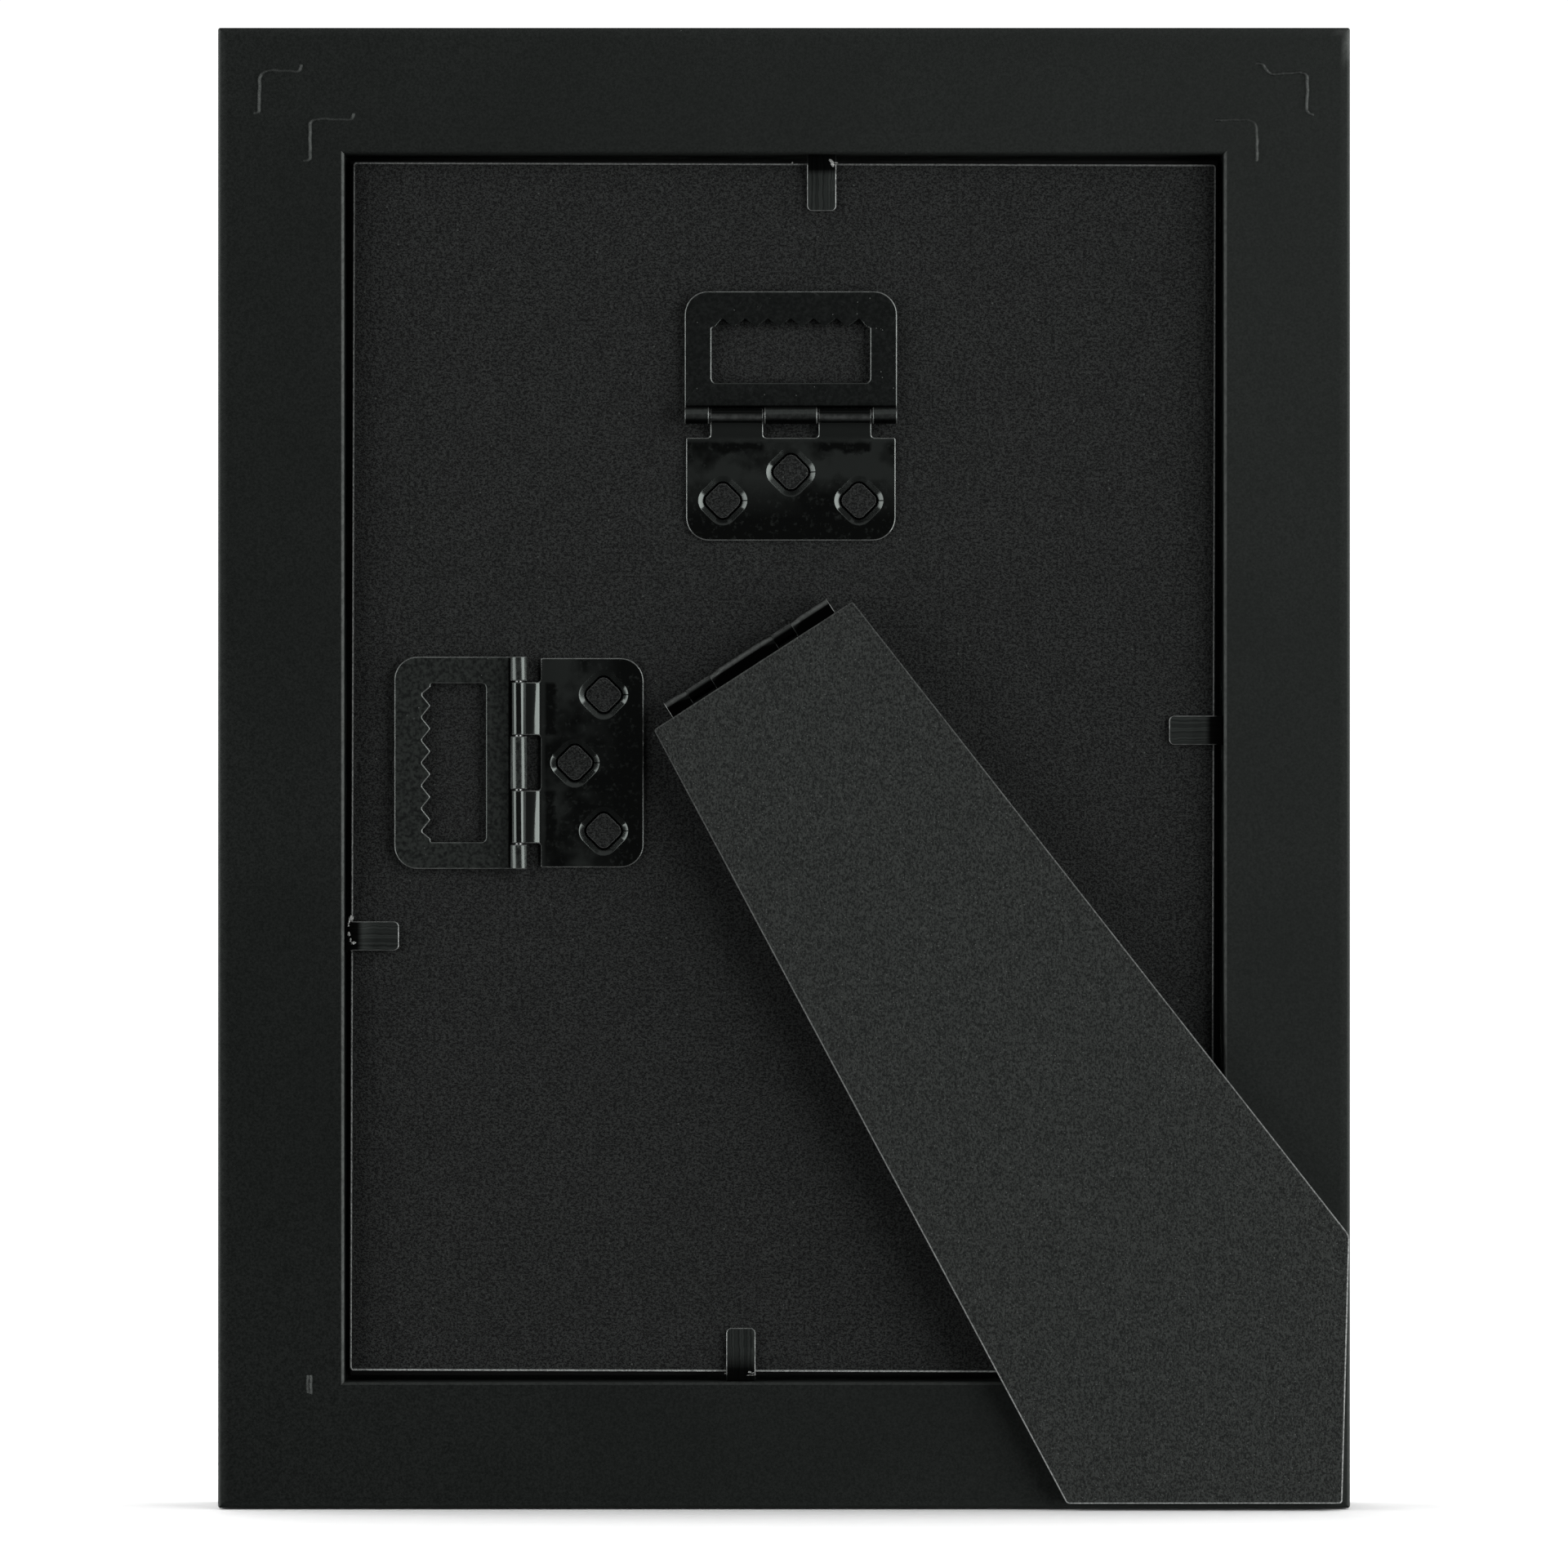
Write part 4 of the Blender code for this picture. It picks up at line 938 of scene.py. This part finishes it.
def collar_edge(centre, turn):
    """A collar punched from a plate: a funnel that rolls over from the face and runs down into the board.

    The funnel's section is an arc, a slope and an arc that ends upright.
    """
    half = PLATE_SHEET / 2
    inner = COLLAR_WALL / 2
    slope = math.radians(FUNNEL_SLOPE)
    upper = np.linspace(0, slope, 5)
    lower = np.linspace(slope, math.pi / 2, 5)
    top, foot = FUNNEL_TOP_ROLL, FUNNEL_FOOT_ROLL
    into = np.concatenate([
        top * np.sin(upper),
        top * math.sin(slope) + FUNNEL_WIDTH + foot * (np.sin(lower) - math.sin(slope)),
    ])
    fall = top * (1 - math.cos(slope)) + FUNNEL_WIDTH * math.tan(slope)
    drop = np.concatenate([top * (1 - np.cos(upper)), fall + foot * (math.cos(slope) - np.cos(lower))])
    bottom = -half - FACE_TO_BOARD - COLLAR_DEPTH
    rim = np.vstack([
        np.column_stack([inner - into[-1] + into, half - drop, 0 * into]),
        [(inner, bottom, 0), (-inner, bottom, 0), (-inner, -half - 0.3, 0), (-inner - 0.3, -half, 0)],
    ])
    ring, into = diamond(centre, turn, split=True)
    return Edge(ring, into, rim, True, False)


def make_hinge_sheet(
    name, body, node_name, pin, degrees, spans, half, reach, leaf, face=-1, slit_turn=0.0, window=None,
    columns=0, waists=None, soft=None, crown=None,
    dullness=0.0, curl_dullness=0.25, window_wear=0.0, teeth_wear=0.0, end_wear=0.5, outer_wear=0.0,
):
    """A sheet of a hinge: cut flat, rolled round its pin, and turned to its place.

    A plate steps down to the board and is clinched in it by its collars. A leaf runs on straight.
    """
    thickness, shoulder = (LEAF_SHEET, LEAF_SHOULDER) if leaf else (PLATE_SHEET, PLATE_SHOULDER)
    radius = BORE_RADIUS + thickness / 2
    curl = radius * math.radians(KNUCKLE_SWEEP)
    fillet = 0.1 if leaf else 0.55
    rim = rim_section(thickness, soft or min(0.2, 0.48 * thickness))
    outline, inner, ladders = hinge_outline(spans, half, shoulder, reach, curl, fillet, columns)
    edges = [plain_edge(outline, rim)]
    if window is not None:
        edges.append(plain_edge(window, rim))
    collars = -collar_places(half, reach)
    if not leaf:
        edges += [collar_edge(place, slit_turn) for place in collars]
    count = sum(len(edge.points) for edge in edges)
    rungs = [np.column_stack([left, count + middle, right]) for left, right, middle in ladders]
    points, wear, faces = sheet(edges, inner, thickness / 2, rungs)
    from_middle, from_pin = points[:, 0].copy(), points[:, 1].copy()
    aside = np.abs(from_middle)
    outermost = aside > half - 0.3
    rimmed = wear > 0
    dulled = np.maximum(dullness, curl_dullness * np.clip(0.5 - from_pin / 0.6, 0, 1))
    # Punching leaves the knuckles' ends and the notches between them less exposed than the outer edges
    wear = wear * np.where(from_pin < (1.6 if leaf else 0.5), end_wear, 1)
    wear = np.where(rimmed & outermost & (from_pin < 1.6), np.maximum(wear, outer_wear), wear)
    if leaf:
        # The notches between a leaf's knuckles stay painted
        wear = np.where((np.abs(from_pin - LEAF_SHOULDER) < 0.25) & ~outermost, 0, wear)
    else:
        # Drawing the collars down has dulled the enamel round them
        from_collar = np.linalg.norm(points[:, None, :2] - collars, axis=2).min(1)
        dulled = np.maximum(dulled, 0.3 * ((from_collar < 4.3) & (points[:, 2] < thickness / 2 - 0.05)))
    if window is not None:
        # The window's sides are rubbed by the hook, its near edge hardly, its teeth as far as they are used
        opening = (aside < 12.2) & (np.abs(from_pin - 9.5) < 5.3)
        along_pin = np.where(aside < 11.3, np.where(from_pin > 9, teeth_wear, 0.1), 1)
        wear = np.where(opening, wear * window_wear * along_pin, wear)
    oily = 0 * from_pin
    if crown is not None:
        # The barrel is painted black as painted shade outside a band of angles, and its crest inside the band
        # is painted pale as a highlight
        start, end, painted_crest_highlight = crown
        roll = np.degrees(-from_pin / radius)
        inside = np.clip(1 + np.minimum(roll - start, end - roll) / 12, 0, 1)
        oily = np.where((from_pin < -0.05) | (face > 0), 1 - inside, 0)
        # On the easel the knuckles' ends at the joints are painted black as painted shade
        if end_wear == 0:
            oily = np.where(rimmed & ~outermost & (from_pin < 0.5), 1, oily)
        crest = (2 * start + end) / 3
        wear = np.maximum(wear, painted_crest_highlight * np.clip(1 - np.abs(roll - crest) / 30, 0, 1))
    if waists is not None:
        points = waists(points)
    points = rolled(points, radius, face, face * radius if leaf else PLATE_LEVEL)
    made = add_piece(
        name, turned(points, pin, degrees, PIN_LEVEL), faces,
        PLATE_ENAMEL if window is None else LEAF_ENAMEL, "black_enamel",
        wear=wear, from_pin=from_pin, from_middle=from_middle, dulled=dulled, oily=oily,
    )
    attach(made, body)
    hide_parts(node_name)


def make_hanger(name, pin, degrees, plate_crown=None, **leaf_looks):
    """A hanger's leaf above its pin and its plate below, which is drawn above too and turned half round."""
    make_hinge_sheet(
        name + "_enamelled_plate", "frame", name + "_plate", pin, degrees + 180,
        HANGER_SPANS[1::2], HANGER_PLATE_HALF, HANGER_REACH, False,
        slit_turn=180 - degrees, crown=plate_crown,
    )
    make_hinge_sheet(
        name + "_enamelled_leaf", name, name + "_leaf", pin, degrees,
        HANGER_SPANS[0::2], HANGER_LEAF_HALF, HANGER_REACH, True,
        window=sawtooth_window(), **leaf_looks,
    )


make_hanger("top_hanger", TOP_PIN, 0, (178, 228, 0.22), crown=(160, 230, 0.05), window_wear=0.8)
# The side hanger keeps more dust, and its teeth are rubbed brighter
make_hanger("side_hanger", SIDE_PIN, 90, dullness=0.8, window_wear=0.3, teeth_wear=3.0)


# Easel


def easel_waists(points):
    """Thins the ends of the leaf's knuckles to the plate's outer radius, in an S over 2.2 millimetres."""
    gap = np.abs(points[:, :1] - np.ravel(EASEL_SPANS)[1:-1]).min(1)
    near = np.clip(1 - gap / 2.2, 0, 1)
    curled = np.clip(0.5 - points[:, 1] / 0.8, 0, 1)
    outside = 0.5 + points[:, 2] / LEAF_SHEET
    thinned = points.copy()
    thinned[:, 2] -= (LEAF_SHEET - PLATE_SHEET) * outside * near ** 2 * (3 - 2 * near) * curled
    return thinned


def make_easel():
    """The easel's plate on the board, its leaf under the leg, and the leg."""
    make_hinge_sheet(
        "easel_hinge_enamelled_plate", "frame", "easel_hinge_plate", EASEL_PIN, LEG_SLANT + 180,
        EASEL_SPANS[1::2], EASEL_PLATE_HALF, EASEL_REACH, False, slit_turn=180, columns=12,
        soft=0.05, crown=(100, 150, 0.35), curl_dullness=0.3, end_wear=0.0,
    )
    make_hinge_sheet(
        "easel_hinge_enamelled_leaf", "easel", "easel_hinge_leaf", EASEL_PIN, LEG_SLANT + 180,
        EASEL_SPANS[0::2], EASEL_LEAF_HALF, EASEL_REACH, True, face=1, columns=24, waists=easel_waists,
        soft=0.1, crown=(25, 75, 0.35), curl_dullness=0.3, end_wear=0.0, outer_wear=1.0,
    )
    rim = rim_section(LEG_OUTER - LEG_INNER, 0.1, 0.06)
    points, wear, faces = sheet([plain_edge(rounded(LEG_CORNERS), rim)])
    # Standing has rubbed the foot and the short side beside it most, and the long edges more towards it
    right = points[:, 0] > 0
    rubbed = np.where(right, 0.25, 0.23) - np.where(right, 0.2, 0.05) * points[:, 1] / 118
    rubbed[points[:, 1] > -2] = 0.08
    rubbed[points[:, 1] < -127] = 0.75
    rubbed[(points[:, 1] < -118.5) & (points[:, 0] > 6)] = 0.85
    wear = wear * rubbed
    points = turned(points, EASEL_PIN, LEG_SLANT, (LEG_INNER + LEG_OUTER) / 2)
    leg = add_piece("paper_faced_leg", points, faces, LEG_PAPER, "leg_board", wear=wear)
    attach(leg, "easel")
    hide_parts("easel_leg")


make_easel()


# Tabs


def make_tab(side, place, degrees, root_shadow_reach):
    """A tab bent over the board: level from the wood, down a slope, and flat on the board.

    The slope falls by drop (3 s² - 2 s³) at share s of its length, and heights are set off square to it.
    """
    half = TAB_WIDTH / 2
    rows = np.concatenate([np.linspace(-4.0, -0.4, 4), np.linspace(-0.2, 5.0, 44)])
    tip = arc((half - TAB_CORNER, TAB_REACH - TAB_CORNER), TAB_CORNER, 0, 90)
    right = np.column_stack([np.full(len(rows), half), rows])
    point = np.array([(0.3, -8.0), (half, -5.0)])
    outline = np.vstack([(-1, 1) * point[:1], point, right, tip])
    outline = np.vstack([outline, (outline * (-1, 1))[2:][::-1]])
    # The rows start at the outline's fourth point, and the left side has them in the opposite order
    numbers = 3 + np.arange(len(rows))
    rungs = [np.column_stack([len(outline) + 1 - numbers, numbers])]
    points, wear, faces = sheet([plain_edge(outline, rim_section(TAB_SHEET, 0.15))], rungs=rungs)
    across, along = points[:, 0].copy(), points[:, 1].copy()
    # Painted shadow at the root, black up to 1.8 mm and fading out by the shadow's reach
    pooled = np.clip((root_shadow_reach - along) / (root_shadow_reach - 1.8), 0, 1)
    # The edges that stand upright in the picture face the side lamps and are painted paler as highlights
    at_tip = along > TAB_REACH - 0.35
    wear = wear * np.clip((along - 0.9) / 0.3, 0, 1) * np.where(at_tip == (degrees % 180 > 0), 1, 0.55)
    drop = TAB_ROOT_HEIGHT - TAB_TIP_HEIGHT - TAB_SHEET / 2
    share = np.clip((along - TAB_SLOPE_START) / TAB_SLOPE_LENGTH, 0, 1)
    slope = -drop * 6 * share * (1 - share) / TAB_SLOPE_LENGTH
    steep = np.sqrt(1 + slope ** 2)
    points[:, 1] -= points[:, 2] * slope / steep
    points[:, 2] = points[:, 2] / steep - drop * share ** 2 * (3 - 2 * share)
    points = turned(points, place, degrees, TAB_ROOT_HEIGHT)
    made = add_piece(
        side + "_blacked_tab", points, faces, BLACKED_STEEL, "spring_steel",
        wear=wear, across=across, pooled=pooled,
    )
    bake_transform(made)
    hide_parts("tab_" + side, "tab_" + side + "_spike")


for side, (place, degrees, root_shadow_reach) in TAB_PLACES.items():
    make_tab(side, place, degrees, root_shadow_reach)


# Board torn up where the tabs were driven in


def torn_board(name, crumbs):
    """Crumbs of torn board, each given as (x, y, level, half length, half breadth, height, turn).

    A crumb is carried round its middle from top to underside: at share s of the way it is
    sin(pi s) times its outline, whose reach is 1 + 0.3 sin(2 a) + 0.2 sin(5 a + 4 s), and its level
    falls as cos(pi s), roughened by sines of both.
    """
    crumbs = np.array(crumbs)[:, None, None]
    x, y, level, length, breadth, height, turn = np.moveaxis(crumbs, -1, 0)
    share = np.linspace(0, 1, 9)[:, None]
    angle = np.linspace(0, 2 * math.pi, 17)[:-1] + 0 * share
    phase = 3 * x + 5 * y
    ripple = 0.3 * np.sin(2 * angle + phase) + 0.2 * np.sin(5 * angle + 4 * share + phase)
    reach = np.sin(math.pi * share) * (1 + ripple)
    across = length * reach * np.cos(angle)
    along = breadth * reach * np.sin(angle)
    rough = 1 + 0.35 * np.sin(4 * angle + phase) * np.sin(math.pi * share)
    points = np.stack([
        x + across * np.cos(turn) - along * np.sin(turn),
        y + across * np.sin(turn) + along * np.cos(turn),
        level + height * np.cos(math.pi * share) * rough,
    ], -1)
    numbers = np.arange(points.size // 3).reshape(points.shape[:3])
    faces = np.concatenate([grid_faces(number) for number in numbers])
    made = add_piece(name, points, faces.tolist(), TORN_FIBRE, "backing_board")
    made.modifiers.new("poles_closed", "WELD").merge_threshold = 0.000001
    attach(made, "frame")


torn_board("torn_board_at_left_tab", [
    (-63.3, 85.9, 0.0, 0.3, 0.5, 0.2, 0.3), (-63.15, 86.0, 0.0, 0.25, 0.2, 0.15, 0.9),
    (-63.6, 84.9, 1.1, 0.14, 0.2, 0.12, 0.2), (-63.55, 83.7, 1.1, 0.17, 0.5, 0.15, 0.1),
    (-62.9, 82.4, 1.05, 0.38, 0.26, 0.2, 0.6), (-63.3, 82.8, 1.1, 0.18, 0.28, 0.15, -0.3),
    (-63.3, 81.6, 0.9, 0.14, 0.32, 0.12, 0.1), (-63.5, 85.5, 1.1, 0.18, 0.42, 0.15, -0.3),
])
torn_board("torn_board_at_top_tab", [
    (7.05, 196.15, 1.2, 0.4, 0.3, 0.15, -0.8), (7.6, 196.3, 1.2, 0.35, 0.08, 0.1, -0.3),
    (6.85, 196.6, 1.2, 0.42, 0.14, 0.1, -0.5), (1.2, 196.35, 0.05, 0.17, 0.13, 0.1, 0.0),
])
torn_board("torn_board_at_bottom_tab", [
    (-5.02, 19.75, 1.2, 0.17, 0.15, 0.12, 0.2), (-4.6, 19.62, 1.15, 0.22, 0.08, 0.1, 0.3),
    (-4.25, 19.85, 1.05, 0.1, 0.14, 0.1, 0.0), (-4.75, 19.3, 1.18, 0.6, 0.05, 0.08, 0.0),
    (-8.55, 19.5, 0.7, 0.1, 0.14, 0.1, 0.4),
])


# Finishes of the CAD pieces that keep their shape

FINISHES = {"_nail": BLACKED_STEEL, "_pin": WIRE, "glass_pane": CLEAR_GLASS, "insert_card": INSERT_CARD}
for name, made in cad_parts.items():
    for ending, finish in FINISHES.items():
        if name.endswith(ending):
            made.data.materials.clear()
            made.data.materials.append(finish)


# Floor, light and camera

FLOOR_REACH = 0.35


def add_light(name, place, target, width, height, power):
    """A soft box that faces a target."""
    light = bpy.data.lights.new(name, "AREA")
    light.shape = "RECTANGLE"
    light.size, light.size_y, light.energy = width, height, power
    made = bpy.data.objects.new(name, light)
    made.location = place
    made.rotation_euler = (Vector(target) - Vector(place)).to_track_quat("-Z", "Y").to_euler()
    bpy.context.scene.collection.objects.link(made)
    return made


def make_stage():
    """A white table, a soft box at each side nearly level with the frame's back, and a strip above."""
    table = bpy.data.meshes.new("floor")
    corners = FLOOR_REACH * np.array([(-1, -1), (1, -1), (1, 1), (-1, 1)])
    table.from_pydata(np.column_stack([corners, np.full(4, -0.0002)]).tolist(), [], [[0, 1, 2, 3]])
    paint, tree, surface, at = new_material("matt_white_laminate", roughness=0.9, specular_ior_level=0.1)
    tooth = patches(tree, at, 3.0, 0.2, 0.8)
    shade = node(tree, "Mix", {0: tooth, 6: linear("#eeeeee"), 7: linear("#f1f1f1")}, data_type="RGBA")[2]
    join(tree, surface, {"Base Color": shade})
    table.materials.append(paint)
    floor = bpy.data.objects.new("floor", table)
    bpy.context.scene.collection.objects.link(floor)
    # The photographed frame shows no light thrown up from below
    floor.visible_diffuse = False
    floor.visible_glossy = False
    floor.visible_shadow = False

    middle = (0, 0, 0.108)
    add_light("left_softbox", (0.72, 0.16, 0.16), middle, 0.9, 1.0, 9.0)
    add_light("right_softbox", (-0.7, 0.24, 0.16), middle, 0.9, 1.0, 12.4)
    add_light("ceiling_panel", (0, 0.65, 1.1), middle, 2.2, 1.6, 2.9)
    # Nothing of this one reaches the back. It shows the glass and the mouldings' face from the front
    add_light("front_panel", (0.3, -1.1, 0.5), middle, 1.0, 0.8, 7.0)
    # The strip hangs a little in front of the frame, so that the frame's foot is softly shaded behind
    strip = add_light("table_strip", (0, -0.13, 1.6), (0, -0.13, 0), 1.2, 0.3, 18.8)
    lit = bpy.data.collections.new("lit_by_the_strip")
    lit.objects.link(floor)
    strip.light_linking.receiver_collection = lit

    world = bpy.data.worlds.new("white_room")
    bpy.context.scene.world = world
    world.use_nodes = True
    tree = world.node_tree
    tree.nodes.clear()
    seen = node(tree, "LightPath", {})["Is Camera Ray"]
    white = node(tree, "Background", {"Color": linear("#ffffff"), "Strength": 1.1})[0]
    dim = node(tree, "Background", {"Color": linear("#ffffff"), "Strength": 0.035})[0]
    both = node(tree, "MixShader", {0: seen, 1: dim, 2: white})[0]
    node(tree, "OutputWorld", {"Surface": both})


make_stage()

# The camera looks squarely at the back: the picture is 228.8 mm wide where the outline is widest
CAMERA_DISTANCE = 1.3
PICTURE_WIDTH = 0.2288
camera = bpy.data.objects.new("camera", bpy.data.cameras.new("camera"))
bpy.context.scene.collection.objects.link(camera)
camera.data.sensor_width = 36
camera.data.lens = 36 * CAMERA_DISTANCE / PICTURE_WIDTH
camera.location = (0, (OUTLINE_LEVEL + BOARD_REAR) / 1000 + CAMERA_DISTANCE, 0.1056)
camera.rotation_euler = (math.pi / 2, 0, math.pi)
bpy.context.scene.camera = camera
bpy.context.scene.view_settings.view_transform = "Standard"
